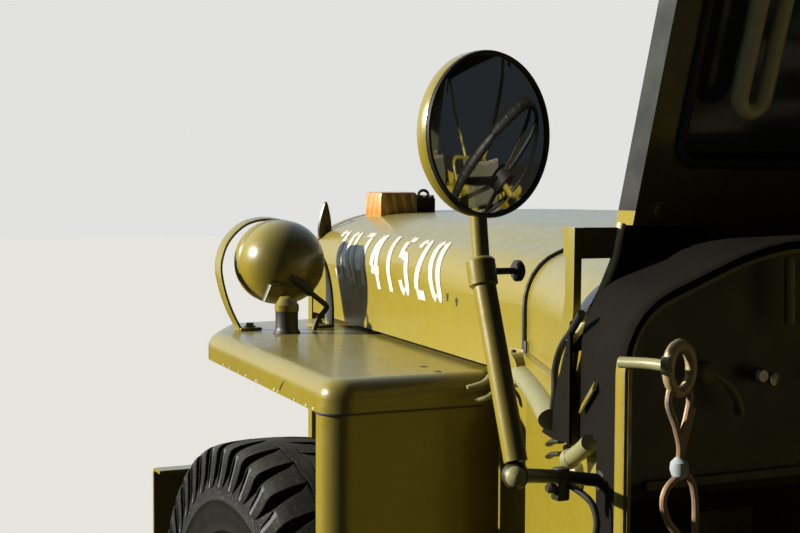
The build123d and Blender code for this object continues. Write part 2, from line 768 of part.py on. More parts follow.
def make_tub_floor():
    inner_front = hood_rear_arch[0] - sheet - 2
    inner_rear = cowl_rear_arch[0] - sheet - 2
    side_y = tub_half_width - sheet - touch_gap
    front_points = [
        (toe_rear_x + 2, cowl_half_width(toe_rear_x) - sheet - 2),
        (cowl_rear_x - 6, inner_rear),
        (cowl_rear_x - 6, -inner_rear),
        (toe_rear_x + 2, -cowl_half_width(toe_rear_x) + sheet + 2),
    ]
    floor = plan_plate(front_points, floor_z - sheet, floor_z)
    well_front = rear_axle_x + well_half_length
    well_rear = rear_axle_x - well_half_length
    rear_x = tub_rear_x + sheet + touch_gap
    floor = floor + block(well_front, cowl_rear_x - 5, -side_y, side_y, floor_z - sheet, floor_z)
    floor = floor + block(well_rear, well_front + 1, -well_inner_y, well_inner_y, floor_z - sheet, floor_z)
    floor = floor + block(rear_x, well_rear + 1, -side_y, side_y, floor_z - sheet, floor_z)
    toe_profile = [
        (toe_front_x - touch_gap, toe_top_z),
        (toe_front_x - touch_gap, toe_top_z + 4),
        (toe_rear_x, floor_z),
        (toe_rear_x, floor_z - sheet),
    ]
    toe = side_plate(toe_profile, -inner_front + 1, inner_front - 1)
    lower = column_point(ahead(-430))
    upper = column_point(ahead(-760))
    toe = toe - rod(lower, upper, column_radius + 7)
    floor = floor + toe
    wall = block(well_rear, well_front, well_inner_y - sheet, well_inner_y, floor_z - sheet, well_top_z)
    lid = block(well_rear, well_front, well_inner_y - sheet, side_y, well_top_z - sheet, well_top_z)
    front_end = block(well_front - sheet, well_front, well_inner_y - 1, side_y, floor_z - sheet, well_top_z)
    rear_end = block(well_rear, well_rear + sheet, well_inner_y - 1, side_y, floor_z - sheet, well_top_z)
    return floor + pair(wall + lid + front_end + rear_end)


door_rear_x = ahead(-1500)
door_sill_z = 628.0


def make_tub_side():
    """The left side of the tub, with the door opening and the wheel opening."""
    front_x = cowl_rear_x - touch_gap
    points = [
        (front_x, sill_z),
        (front_x, 720),
        (front_x - 60, door_sill_z),
        (door_rear_x + 110, door_sill_z),
        (door_rear_x, tub_top_z),
        (tub_rear_x, tub_top_z),
        (tub_rear_x, sill_z),
    ]
    panel = side_plate(points, tub_half_width - sheet, tub_half_width, [0, 0, 50, 110, 50, 30, 0])
    arch_points = [
        (rear_axle_x + 400, sill_z - 1),
        (rear_axle_x + 345, well_top_z - sheet - touch_gap),
        (rear_axle_x - 345, well_top_z - sheet - touch_gap),
        (rear_axle_x - 400, sill_z - 1),
    ]
    opening = side_plate(arch_points, tub_half_width - 60, tub_half_width + 60, [0, 90, 90, 0])
    joint = block(
        front_x - 4,
        front_x,
        cowl_rear_arch[0] - sheet,
        tub_half_width,
        sill_z,
        718,
    )
    rim = block(door_rear_x - 60, tub_rear_x, tub_half_width - 16, tub_half_width, tub_top_z - 4, tub_top_z)
    return (panel - opening) + joint + rim




def make_tub_rear_panel():
    y = tub_half_width - sheet - touch_gap
    panel = block(tub_rear_x, tub_rear_x + sheet, -y, y, sill_z, tub_top_z - 5)
    plate = block(tub_rear_x - 8, tub_rear_x + 1, spare_y - 90, spare_y + 90, spare_z - 120, spare_z + 60)
    stem_end = spare_x - disc_y + 6 + touch_gap
    stem = rod((tub_rear_x, spare_y, spare_z), (stem_end, spare_y, spare_z), 60)
    return panel + plate + stem


# Windshield

def windshield_plane(offset):
    """A plane across the leaning windshield, moved forward by an offset."""
    lean = radians(windshield_lean)
    return Plane(
        origin=(windshield_x + offset * cos(lean), 0, windshield_z + offset * sin(lean)),
        x_dir=(0, 1, 0),
        z_dir=(cos(lean), 0, sin(lean)),
    )


def window(side, grow=0.0):
    """Outline of one window in the windshield's own plane."""
    inner = divider_width / 2 - grow
    outer = windshield_half_width - side_rail + grow
    low = window_bottom - grow
    high = window_top + grow
    points = [(side * inner, low), (side * outer, low), (side * outer, high), (side * inner, high)]
    return outline(points, [18 + grow, 18 + grow, 18 + grow, 18 + grow])


def make_windshield_frame():
    w = windshield_half_width
    face = outline([(-w, 0), (w, 0), (w, windshield_height), (-w, windshield_height)], [0, 0, 30, 30])
    frame = extrude(windshield_plane(-frame_depth / 2) * face, frame_depth)
    for side in (-1, 1):
        frame = frame - extrude(windshield_plane(-frame_depth) * window(side), frame_depth * 2)
    return frame - cowl_block(touch_gap, 500)


def make_windshield_legs():
    """Legs outside the cowl, from the windshield down and forward to the pivots."""
    flare = (cowl_rear_arch[0] - hood_rear_arch[0]) / (cowl_front_x - cowl_rear_x)
    away = touch_gap / cos(flare) + 1.0
    x_top = ahead(-724)
    x_low = ahead(-672)
    x_pivot = ahead(-492)
    plan = [
        (x_top - 30, cowl_half_width(x_top - 30) + away),
        (x_top - 30, cowl_half_width(x_top - 30) + away + 8),
        (x_pivot, cowl_half_width(x_pivot) + away + 8),
        (x_pivot, cowl_half_width(x_pivot) + away),
    ]
    slab = plan_plate(plan, 800, 1060)
    shape = [
        (x_top - 18, windshield_z + 10),
        (x_top + 18, windshield_z + 10),
        (x_top + 20, 960),
        (x_low + 20, 882),
        (x_pivot, 886),
        (x_pivot, 852),
        (x_low, 838),
        (x_low - 24, 850),
        (x_top - 16, 955),
    ]
    leg = slab & side_plate(shape, 0, tub_half_width * 2, [0, 0, 40, 20, 0, 0, 12, 12, 30])
    top_y = windshield_half_width - 20
    top = block(x_top - 16, x_top + 16, top_y, cowl_half_width(x_top) + 6, 1002, windshield_z + 10)
    top = top - cowl_block(touch_gap + 1.0, 500)
    pivot_y = cowl_half_width(x_pivot - 19) + away
    pivot = cross_rod(x_pivot, pivot_y, pivot_y + 18, 868, 19)
    return pair(leg + top + pivot)


def make_windshield_glass():
    glass = None
    for side in (-1, 1):
        plane = windshield_plane(-glass_thickness / 2)
        pane = extrude(plane * window(side, -touch_gap), glass_thickness)
        glass = pane if glass is None else glass + pane
    return glass


# Hood

def make_hood():
    outer = arched_solid(hood_front_x, hood_rear_x, hood_front_arch, hood_rear_arch, hood_bottom_z)
    inner = arched_solid(
        hood_front_x + 1,
        hood_rear_x - 1,
        hood_front_arch,
        hood_rear_arch,
        hood_bottom_z - 1,
        -sheet,
    )
    hood = outer - inner
    for y in hinge_places:
        hood = hood + hinge_on_hood(y)
    return hood


def make_hood_blocks():
    top = arched_solid(hood_front_x, hood_rear_x, hood_front_arch, hood_rear_arch, hood_bottom_z, touch_gap)
    blocks = None
    for y in (-284, 284):
        rest = rounded_block(ahead(299), ahead(363), y - 53, y + 53, 990, 1061, 8) - top
        blocks = rest if blocks is None else blocks + rest
    return blocks


# Small fittings

blackout_place = (200.0, 547.5, 952.5)
lamp_radius = 64.5


def make_blackout_lamp():
    x = ahead(blackout_place[0])
    y = blackout_place[1]
    z = blackout_place[2]
    rear = lamp_radius + 8
    rim = (14, lamp_radius * 0.97)
    waist = (-lamp_radius * 0.7, lamp_radius * 0.7)
    boss = (-lamp_radius + 2, 12)
    bowl = Polyline((-rear, 0), (44, 0), (44, 64), (20, 64), rim)
    back = ThreePointArc(rim, waist, boss)
    closing = Polyline(boss, (-rear, 12), (-rear, 0))
    lamp = Pos(x, y, z) * revolve(make_face(bowl + back + closing), Axis.X)
    foot_z = fender_top_z + touch_gap
    post_x = x - 64
    post_y = y + 21
    post_top = foot_z + 33
    base = block(post_x - 24, post_x + 30, post_y - 24, post_y + 24, foot_z, foot_z + 4)
    base = base + block(post_x - 18, post_x + 18, post_y - 18, post_y + 18, foot_z, post_top)
    stand = rod((post_x, post_y, post_top - 4), (x - 26, y, z - 36), 15)
    strap = 4.0
    foot_x = ahead(193)
    top_z = 190.0
    arch_face = outline(
        [(470, 0), (464, 90), (490, top_z), (586, top_z), (632, 90), (621, 0)],
        [0, 60, 40, 40, 60, 0],
    )
    arch_hole = outline(
        [(474, -1), (468, 90), (493, top_z - strap), (583, top_z - strap), (628, 90), (617, -1)],
        [0, 56, 36, 36, 56, 0],
    )
    lean = radians(28)
    plane = Plane(origin=(foot_x, 0, foot_z), x_dir=(0, 1, 0), z_dir=(cos(lean), 0, -sin(lean)))
    guard = extrude(plane * (arch_face - arch_hole), 24)
    guard = guard & block(ahead(0), ahead(420), 300, 700, foot_z, 1200)
    for foot_y in (472, 619):
        guard = guard + block(foot_x - 6, foot_x + 40, foot_y - 14, foot_y + 14, foot_z, foot_z + 5)
    return lamp + stand + base + guard


def make_mirrors():
    """Left mirror with its arm, and the same on the right."""
    head = (ahead(-885), 800, 1104)
    collar = (ahead(-882), 800, 1003)
    ball = (ahead(-933), 800, 862)
    mount = (ahead(-838), cowl_half_width(ahead(-838)) + 14, 818)
    turn = Rot(0, 90, 0)
    face = Pos(*head) * Rot(0, 0, 10) * turn * Cylinder(62, 12)
    stem = rod(head, collar, 7) + rod(collar, ball, 10) + Pos(*ball) * Sphere(15)
    stem = stem + rod(ball, mount, 9)
    clamp = Pos(*collar) * Sphere(15)
    plate_x = ahead(-838)
    y = cowl_half_width(plate_x)
    plate = block(plate_x - 22, plate_x + 22, y - 12, y + 22, 796, 840) - cowl_block(touch_gap, 500)
    return pair(face + stem + clamp + plate)


def make_column():
    low = column_point(ahead(-390))
    high = column_point(steering_wheel_x + 60)
    tip = column_point(steering_wheel_x - 4)
    column = rod(low, high, column_radius)
    shaft = rod(high, tip, 9)
    gear_y1 = rail_web_y - touch_gap
    gear = block(ahead(-430), ahead(-345), column_y - 40, gear_y1, rail_bottom_z + 8, rail_top_z - 8)
    bracket = block(
        dash_x - 40,
        dash_x - sheet - touch_gap,
        column_y - 22,
        column_y + 22,
        dash_bottom_z + 1 + touch_gap,
        dash_bottom_z + 28,
    )
    levers = pipe([(ahead(-790), 0, floor_z + 1.0), (ahead(-800), 0, 700), (ahead(-930), 20, 890)], 8, 60)
    knob = Cylinder(19, 36)
    levers = levers + Pos(ahead(-931), 20, 900) * fillet(knob.edges(), 9)
    levers = levers + rod((ahead(-960), -60, floor_z + 1.2), (ahead(-990), -60, 790), 7)
    levers = levers + rod((ahead(-960), -110, floor_z + 1.2), (ahead(-990), -110, 790), 7)
    pedals = None
    for y in (200, 370):
        pad = block(ahead(-640), ahead(-628), y - 35, y + 35, 660, 730)
        arm = rod((ahead(-634), y, 690), (ahead(-552), y, toe_height(ahead(-552)) + 4.3), 8)
        pedal = pad + arm
        pedals = pedal if pedals is None else pedals + pedal
    return column + shaft + gear + bracket + levers + pedals


def toe_height(x):
    """Height of the toe board's upper face."""
    share = (toe_front_x - x) / (toe_front_x - toe_rear_x)
    return toe_top_z + 4 + (floor_z - toe_top_z - 4) * share


def make_steering_wheel():
    """The steering wheel about the Z axis, at the origin."""
    ring = Torus(steering_wheel_radius - 12, 12)
    hub = Pos(0, 0, -6) * Cylinder(34, 36)
    wheel = ring + hub
    for number in range(3):
        spoke = Pos((steering_wheel_radius - 12) / 2, 0, 0) * Box(steering_wheel_radius - 12, 22, 7)
        wheel = wheel + Rot(0, 0, 90 + number * 120) * spoke
    return wheel - Pos(0, 0, -40 + 20) * Cylinder(9 + bearing_clearance, 60)


# Seats

front_seat_x = ahead(-1262)
front_seat_y = 290.0
front_seat_width = 410.0
front_seat_depth = 400.0
rear_seat_x = ahead(-1960)
rear_seat_width = 2 * well_inner_y - 130.0
rear_seat_depth = 360.0
seat_z = 690.0


def seat_base(x, y, width, depth):
    """A seat pan on four legs with a back hoop; the seat's front edge is at x."""
    pan = block(x - depth, x, y - width / 2, y + width / 2, seat_z - 4, seat_z)
    for leg_x in (x - 24, x - depth + 24):
        for leg_y in (y - width / 2 + 24, y + width / 2 - 24):
            pan = pan + rod((leg_x, leg_y, floor_z + touch_gap), (leg_x, leg_y, seat_z - 2), 11)
    half = width / 2 - 12
    hoop_plane = Plane(
        origin=(x - depth - 16, y, seat_z - 30),
        x_dir=(0, 1, 0),
        z_dir=(cos(radians(12)), 0, sin(radians(12))),
    )
    path = hoop_plane * FilletPolyline((-half, 0), (-half, 400), (half, 400), (half, 0), radius=60)
    hoop = sweep(Plane(origin=path @ 0, z_dir=path % 0) * Circle(11), path=path)
    link = block(x - depth - 28, x - depth + 2, y - half - 11, y + half + 11, seat_z - 26, seat_z - 2)
    return pan + hoop + link


def seat_cushion(x, y, width, depth):
    """Bottom and back cushions of one seat."""
    y0 = y - width / 2 + 4
    y1 = y + width / 2 - 4
    low = rounded_block(x - depth + 6, x - 4, y0, y1, seat_z + touch_gap, seat_z + 90, 24)
    back = rounded_block(11 + touch_gap, 73, -width / 2 + 26, width / 2 - 26, 132, 416, 20)
    lean = Pos(x - depth - 16, y, seat_z - 30) * Rot(0, -12, 0)
    return low + lean * back


def make_seat_frames():
    seats = pair(seat_base(front_seat_x, front_seat_y, front_seat_width, front_seat_depth))
    return seats + seat_base(rear_seat_x, 0, rear_seat_width, rear_seat_depth)


def make_seat_cushions():
    seats = pair(seat_cushion(front_seat_x, front_seat_y, front_seat_width, front_seat_depth))
    return seats + seat_cushion(rear_seat_x, 0, rear_seat_width, rear_seat_depth)


def make_jerrycan():
    x1 = tub_rear_x - 22
    x0 = x1 - 145
    y0 = jerrycan_y0
    y1 = jerrycan_y1
    z0 = floor_z + 8
    middle_x = (x0 + x1) / 2
    can = rounded_block(x0, x1, y0, y1, z0, z0 + 400, 22)
    shelf = block(x0 - 8, tub_rear_x - touch_gap, y0 - 8, y1 + 8, z0 - 8, z0 - touch_gap)
    back = block(x1 + 2, tub_rear_x - touch_gap, y0 + 10, y1 - 10, z0 - 10, z0 + 240)
    band = block(x0 - 8, x0 - 2, y0 - 8, y1 + 8, z0 - 8, z0 + 80)
    handle = rod((middle_x, y0 + 90, z0 + 395), (middle_x, y1 - 90, z0 + 395), 12)
    return can + handle + (shelf + back + band)


# Canvas top and bows

def bow(top_x, top_z):
    """One bow: a tube across the car with both legs going down to the sockets."""
    run = top_x - bow_foot_x
    rise = top_z - bow_foot_z
    length = hypot(run, rise)
    plane = Plane(
        origin=(bow_foot_x, 0, bow_foot_z),
        x_dir=(0, 1, 0),
        z_dir=(rise / length, 0, -run / length),
    )
    half = bow_half_width
    path = plane * FilletPolyline((-half, 0), (-half, length), (half, length), (half, 0), radius=90)
    return sweep(Plane(origin=path @ 0, z_dir=path % 0) * Circle(bow_radius), path=path)


def make_top_bows():
    bows = bow(front_bow_x, front_bow_z) + bow(rear_bow_x, rear_bow_z)
    socket = block(
        bow_foot_x - 34,
        bow_foot_x + 34,
        bow_half_width - 16,
        tub_half_width - sheet - touch_gap,
        well_top_z + touch_gap,
        well_top_z + 90,
    )
    return bows + pair(socket)


def make_canvas_top():
    lean = radians(windshield_lean)
    front_x = windshield_x - windshield_height * sin(lean) + frame_depth / 2
    front_z = windshield_z + windshield_height * cos(lean) + frame_depth / 2
    gap = (bow_radius + touch_gap + canvas) * 1.1
    points = [
        (front_x, front_z + canvas),
        (front_bow_x, front_bow_z + gap),
        (rear_bow_x - 6, rear_bow_z + gap),
    ]
    drop = 110.0
    low = [(x, z - drop) for x, z in reversed(points)]
    inner_top = [(x, z - canvas) for x, z in points]
    inner_low = [(x, z - drop * 2) for x, z in reversed(points)]
    half = bow_half_width + bow_radius + touch_gap + canvas
    outer = side_plate(points + low, -half, half)
    stretch = [(inner_top[0][0] + 2, inner_top[0][1])] + inner_top[1:]
    stretch[-1] = (stretch[-1][0] - 2, stretch[-1][1])
    stretch_low = list(inner_low)
    stretch_low[0] = (stretch_low[0][0] - 2, stretch_low[0][1])
    stretch_low[-1] = (stretch_low[-1][0] + 2, stretch_low[-1][1])
    hollow = side_plate(stretch + stretch_low, -half + canvas, half - canvas)
    cover = outer - hollow
    back_top = (rear_bow_x - 6, rear_bow_z + gap)
    back_low = (tub_rear_x - touch_gap, tub_top_z - 18)
    back = side_plate(
        [
            (back_top[0] + 1, back_top[1]),
            (back_top[0] - 18, back_top[1] - 24),
            (back_low[0], tub_top_z + 8),
            back_low,
            (back_low[0] - canvas, back_low[1]),
            (back_low[0] - canvas, tub_top_z + 8),
            (back_top[0] - 18 - canvas, back_top[1] - 22),
            (back_top[0] - 4, back_top[1] + 0.1),
        ],
        -half,
        half,
    )
    return cover + back


# Placing the pieces and writing the files

def at_wheel(shape, axle_x, side):
    """A left wheel piece moved to its corner of the car."""
    if side < 0:
        shape = mirror(shape, about=Plane.XZ)
    return Pos(axle_x, side * wheel_y, axle_z) * shape


def make_all():
    nodes = {}
    nodes["frame"] = make_frame()
    nodes["front_bumper"] = make_front_bumper()
    nodes["rear_bumperettes"] = make_rear_bumperettes()
    nodes["front_axle"] = make_front_axle()
    nodes["rear_axle"] = make_rear_axle()
    nodes["springs"] = make_springs()
    nodes["power_unit"] = make_power_unit()
    nodes["exhaust"] = make_exhaust()
    nodes["radiator"] = make_radiator()
    nodes["grille"] = make_grille()
    nodes["fender_left"] = make_fender()
    nodes["fender_right"] = mirror(nodes["fender_left"], about=Plane.XZ)
    nodes["cowl"] = make_cowl()
    nodes["dash_panel"] = make_dash_panel()
    nodes["tub_floor"] = make_tub_floor()
    nodes["tub_side_left"] = make_tub_side()
    nodes["tub_side_right"] = mirror(nodes["tub_side_left"], about=Plane.XZ)
    nodes["tub_rear_panel"] = make_tub_rear_panel()
    nodes["windshield_frame"] = make_windshield_frame() + make_windshield_legs()
    nodes["windshield_glass"] = make_windshield_glass()
    nodes["lamps"] = make_lamps()
    nodes["blackout_lamp"] = make_blackout_lamp()
    nodes["seat_frames"] = make_seat_frames()
    nodes["seat_cushions"] = make_seat_cushions()
    nodes["column_and_levers"] = make_column()
    nodes["mirrors"] = make_mirrors()
    nodes["jerrycan"] = make_jerrycan()
    nodes["canvas_top"] = make_canvas_top()
    nodes["top_bows"] = make_top_bows()
    nodes["hood"] = make_hood()
    nodes["hood_blocks"] = make_hood_blocks()
    tyre = make_tyre()
    wheel = make_wheel()
    spare = Pos(spare_x, spare_y, spare_z) * Rot(0, 0, 90)
    nodes["spare_tyre"] = spare * tyre
    nodes["spare_wheel"] = spare * wheel
    for name, axle_x, side in (
        ("front_left", front_axle_x, 1),
        ("front_right", front_axle_x, -1),
        ("rear_left", rear_axle_x, 1),
        ("rear_right", rear_axle_x, -1),
    ):
        nodes["tyre_" + name] = at_wheel(tyre, axle_x, side)
        nodes["wheel_" + name] = at_wheel(wheel, axle_x, side)
    nodes["knuckle_left"] = make_knuckle()
    nodes["knuckle_right"] = mirror(nodes["knuckle_left"], about=Plane.XZ)
    nodes["tie_rod"] = make_tie_rod()
    tilt = Pos(*column_point(steering_wheel_x)) * Rot(0, column_angle - 90, 0)
    nodes["steering_wheel"] = tilt * make_steering_wheel()
    return nodes


os.makedirs("parts", exist_ok=True)
for node_name, node_shape in make_all().items():
    export_step(node_shape, "parts/" + node_name + ".step")
    print(node_name, round(node_shape.volume / 1e6, 3), "litres", len(node_shape.solids()))
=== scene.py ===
"""Looks of the army 4x4 car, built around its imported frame.

Places are given in millimetres ahead of the front axle, to the left and up, and turned
into the frame's metres by at().
"""

import math

import bmesh
import bpy
from mathutils import Matrix, Vector


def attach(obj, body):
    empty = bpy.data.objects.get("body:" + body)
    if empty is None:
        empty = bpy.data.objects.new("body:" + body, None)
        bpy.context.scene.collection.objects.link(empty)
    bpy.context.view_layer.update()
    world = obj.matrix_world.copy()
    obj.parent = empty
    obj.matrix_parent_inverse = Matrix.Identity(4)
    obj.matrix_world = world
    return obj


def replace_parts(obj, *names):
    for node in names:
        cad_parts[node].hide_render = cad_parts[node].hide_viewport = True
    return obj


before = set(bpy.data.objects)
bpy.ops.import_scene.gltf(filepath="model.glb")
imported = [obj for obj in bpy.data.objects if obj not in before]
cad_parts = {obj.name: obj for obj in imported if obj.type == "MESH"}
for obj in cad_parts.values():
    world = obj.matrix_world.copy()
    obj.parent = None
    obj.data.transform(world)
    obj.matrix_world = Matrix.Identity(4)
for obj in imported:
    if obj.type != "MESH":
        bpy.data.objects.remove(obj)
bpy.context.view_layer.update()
scene = bpy.context.scene

MM = 0.001
FRONT_AXLE = 1130.5
WHEELBASE = 2032.0
TRACK = 1244.0
SIDES = ((1, "left"), (-1, "right"))
BOTH = (1, -1)
AHEAD = Vector((1, 0, 0))
BEHIND = Vector((-1, 0, 0))
UPWARD = Vector((0, 0, 1))
finishes = {}


def at(ahead, left, up):
    """A place in metres, from millimetres ahead of the front axle, left and up."""
    return Vector(((FRONT_AXLE + ahead) * MM, left * MM, up * MM))


def line_at(*points, side=1):
    """Places along a line, on the left side or mirrored to the right one."""
    return [at(x, side * y, z) for x, y, z in points]


def new_object(name, data):
    thing = bpy.data.objects.new(name, data)
    scene.collection.objects.link(thing)
    return thing


# Camera, floor and light

CAMERA_PLACE = at(-1783.97, 1302.05, 1061.34)
CAMERA_YAW = math.radians(-25.7)
CAMERA_PITCH = math.radians(-3.1)
CAMERA_ROLL = math.radians(0.25)
CAMERA_LENS = 62.13
SUN_WAY = Vector((0.396, 0.860, 0.321))
SUN_STRENGTH = 8.5
SUN_COLOR = (1.0, 0.93, 0.78)
SKY_WAY = (0.93, 0.12, 0.34)
SKY_COLOR = (0.68, 0.84, 1.0, 1.0)
BACKDROP_COLOR = (0.80, 0.80, 0.79, 1.0)
BACKDROP_STRENGTH = 0.95
FLOOR_HALF = 30.0
FLOOR_GLOW = 0.36


def make_camera():
    across = Vector((math.cos(CAMERA_YAW), math.sin(CAMERA_YAW), 0.0))
    forward = across * math.cos(CAMERA_PITCH) + UPWARD * math.sin(CAMERA_PITCH)
    level_right = Vector((math.sin(CAMERA_YAW), -math.cos(CAMERA_YAW), 0.0))
    level_up = level_right.cross(forward)
    right = level_right * math.cos(CAMERA_ROLL) + level_up * math.sin(CAMERA_ROLL)
    up = level_up * math.cos(CAMERA_ROLL) - level_right * math.sin(CAMERA_ROLL)
    turn = Matrix((right, up, -forward)).transposed()
    data = bpy.data.cameras.new("camera")
    data.lens = CAMERA_LENS
    data.sensor_width = 36.0
    data.sensor_fit = "HORIZONTAL"
    data.clip_start = 0.02
    data.clip_end = 60.0
    scene.camera = new_object("camera", data)
    scene.camera.matrix_world = Matrix.Translation(CAMERA_PLACE) @ turn.to_4x4()


def make_sun():
    data = bpy.data.lights.new("sun", "SUN")
    data.energy = SUN_STRENGTH
    data.angle = math.radians(1.6)
    data.color = SUN_COLOR
    new_object("sun", data).rotation_euler = (-SUN_WAY).to_track_quat("-Z", "Y").to_euler()


def fill(tree, node, values):
    """Sets inputs of a node: a plain value, or the output of another node."""
    for socket, value in values.items():
        if isinstance(value, bpy.types.NodeSocket):
            tree.links.new(value, node.inputs[socket])
        else:
            node.inputs[socket].default_value = value


def add_node(tree, kind, values=None, **settings):
    node = tree.nodes.new("ShaderNode" + kind)
    for name, setting in settings.items():
        setattr(node, name, setting)
    fill(tree, node, values or {})
    return node


def remap(tree, value, low, high, start=0.0, end=1.0):
    """Turns the range from low to high into the range from start to end."""
    limits = {"Value": value, "From Min": low, "From Max": high, "To Min": start, "To Max": end}
    return add_node(tree, "MapRange", limits).outputs["Result"]


def reckon(tree, operation, *values, clamp=False):
    return add_node(tree, "Math", dict(enumerate(values)), operation=operation, use_clamp=clamp).outputs[0]


def dot(tree, first, second):
    return add_node(tree, "VectorMath", {0: first, 1: second}, operation="DOT_PRODUCT").outputs["Value"]


def facing(tree, axis):
    """How far the surface faces along an axis."""
    normal = add_node(tree, "NewGeometry").outputs["Normal"]
    return add_node(tree, "SeparateXYZ", {0: normal}).outputs[axis]


def mixed(tree, mask, first, second, amount=1.0):
    """A colour between first and second, by the mask times an amount."""
    first, second = ((*value, 1.0) if isinstance(value, tuple) else value for value in (first, second))
    share = reckon(tree, "MULTIPLY", mask, amount, clamp=True)
    return add_node(tree, "Mix", {"Factor": share, 6: first, 7: second}, data_type="RGBA").outputs[2]


def seen_plainly(tree):
    """1 where the camera looks, also through glass, and 0 where light is gathered."""
    path = add_node(tree, "LightPath").outputs
    return reckon(tree, "MAXIMUM", path["Is Camera Ray"], path["Is Transmission Ray"])


def make_world():
    """A sky that is bright ahead of the car and dark behind it, behind a plain pale backdrop."""
    scene.world = bpy.data.worlds.new("studio")
    scene.world.use_nodes = True
    tree = scene.world.node_tree
    tree.nodes.clear()
    toward = dot(tree, add_node(tree, "TexCoord").outputs["Generated"], SKY_WAY)
    level = remap(tree, toward, -0.05, 0.85, 0.015, 0.50)
    gloss = remap(tree, toward, -0.2, 0.85, 0.03, 0.36)
    glossy = add_node(tree, "LightPath").outputs["Is Glossy Ray"]
    strength = reckon(tree, "MULTIPLY_ADD", gloss, glossy, level)
    light = add_node(tree, "Background", {"Color": SKY_COLOR, "Strength": strength})
    shown = add_node(tree, "Background", {"Color": BACKDROP_COLOR, "Strength": BACKDROP_STRENGTH})
    mix = add_node(tree, "MixShader", {"Fac": seen_plainly(tree), 1: light.outputs[0], 2: shown.outputs[0]})
    add_node(tree, "OutputWorld", {"Surface": mix.outputs[0]})


def make_floor():
    """A pale floor that takes the car's shadow and throws little light back up."""
    size = FLOOR_HALF
    corners = [(-size, -size, 0), (size, -size, 0), (size, size, 0), (-size, size, 0)]
    mesh = bpy.data.meshes.new("floor")
    mesh.from_pydata(corners, [], [(0, 1, 2, 3)])
    pale = bpy.data.materials.new("pale_floor")
    pale.use_nodes = True
    tree = pale.node_tree
    tree.nodes.clear()
    see = seen_plainly(tree)
    tone = mixed(tree, see, (0.03, 0.03, 0.028), (0.50, 0.50, 0.49))
    diffuse = add_node(tree, "BsdfDiffuse", {"Color": tone})
    level = reckon(tree, "MULTIPLY", see, FLOOR_GLOW)
    glow = add_node(tree, "Emission", {"Color": (0.80, 0.80, 0.80, 1.0), "Strength": level})
    both = add_node(tree, "AddShader", {0: diffuse.outputs[0], 1: glow.outputs[0]})
    add_node(tree, "OutputMaterial", {"Surface": both.outputs[0]})
    mesh.materials.append(pale)
    return new_object("floor", mesh)


def make_stage():
    scene.view_settings.view_transform = "Standard"
    make_camera()
    make_world()
    make_sun()
    make_floor()


# Materials

TONE = 0.65
# Near-black olive laid on faces that look back: painted shade.
PAINTED_REAR_SHADE = (0.050, 0.046, 0.022)
DUST = (0.34, 0.33, 0.25)
# Height above which the windshield's sideways faces are turned near-black.
SIDE_BLACK_LOW = 1.045


def toned(color):
    """The colour as it is painted, under the strong sun of this scene."""
    return tuple(channel * TONE for channel in color)


def new_material(name, values):
    """A material with values of its shader, its node tree, the shader, and the place in the object."""
    material = bpy.data.materials.new(name)
    material.use_nodes = True
    tree = material.node_tree
    shader = tree.nodes["Principled BSDF"]
    fill(tree, shader, values)
    return material, tree, shader, add_node(tree, "TexCoord").outputs["Object"]


def noise_mask(tree, place, scale, low, high, detail=4.0):
    """A value from 0 to 1 that changes with a noise of the given scale."""
    noise = add_node(tree, "TexNoise", {"Vector": place, "Scale": scale, "Detail": detail})
    return remap(tree, noise.outputs["Fac"], low, high)


def relief(tree, height, strength, distance):
    bump = add_node(tree, "Bump", {"Height": height, "Strength": strength, "Distance": distance})
    return bump.outputs["Normal"]


def surface(name, color, shade, roughness, bump, bump_scale=120.0, metallic=0.0, coat=0.0, dust=None,
            dust_amount=0.0, chip=None, blotch=3.0, specular=0.5, speck=None, painted_rear_shade=0.0):
    """A worn surface: a colour with blotches, fine bumps, dust lying on top, chips at edges, and painted
    shade on faces that look back.
    """
    values = {"Metallic": metallic, "Coat Weight": coat, "Coat Roughness": 0.12}
    values["Specular IOR Level"] = specular
    material, tree, shader, place = new_material(name, values)
    large = noise_mask(tree, place, blotch, 0.35, 0.65)
    fine = noise_mask(tree, place, blotch * 14.0, 0.3, 0.7, 6.0)
    base = mixed(tree, large, toned(color), toned(shade), 0.55)
    base = mixed(tree, fine, base, toned(shade), 0.25)
    if dust:
        upward = remap(tree, facing(tree, "Z"), 0.2, 1.0)
        patchy = noise_mask(tree, place, 9.0, 0.25, 0.75, 8.0)
        base = mixed(tree, reckon(tree, "MULTIPLY", upward, patchy), base, toned(dust), dust_amount)
    if chip:
        bevel = add_node(tree, "Bevel", {"Radius": 0.003}, samples=4).outputs["Normal"]
        turn = dot(tree, bevel, add_node(tree, "NewGeometry").outputs["Normal"])
        broken = noise_mask(tree, place, 60.0, 0.50, 0.60, 5.0)
        edge = reckon(tree, "MULTIPLY", remap(tree, turn, 0.995, 0.93), broken)
        base = mixed(tree, edge, base, toned(chip), 0.7)
    # Painted shade: faces that look back are darkened towards a near-black olive.
    if painted_rear_shade:
        rear_shade_mask = remap(tree, facing(tree, "X"), -0.25, -0.85)
        base = mixed(tree, rear_shade_mask, base, toned(PAINTED_REAR_SHADE), painted_rear_shade)
    if speck:
        base = mixed(tree, noise_mask(tree, place, 260.0, 0.62, 0.70, 2.0), base, toned(speck), 0.8)
    fill(tree, shader, {"Base Color": base, "Roughness": remap(tree, fine, 0.0, 1.0, *roughness)})
    if bump:
        grain = add_node(tree, "TexNoise", {"Vector": place, "Scale": bump_scale, "Detail": 3.0})
        fill(tree, shader, {"Normal": relief(tree, grain.outputs["Fac"], bump, 0.002)})
    return material


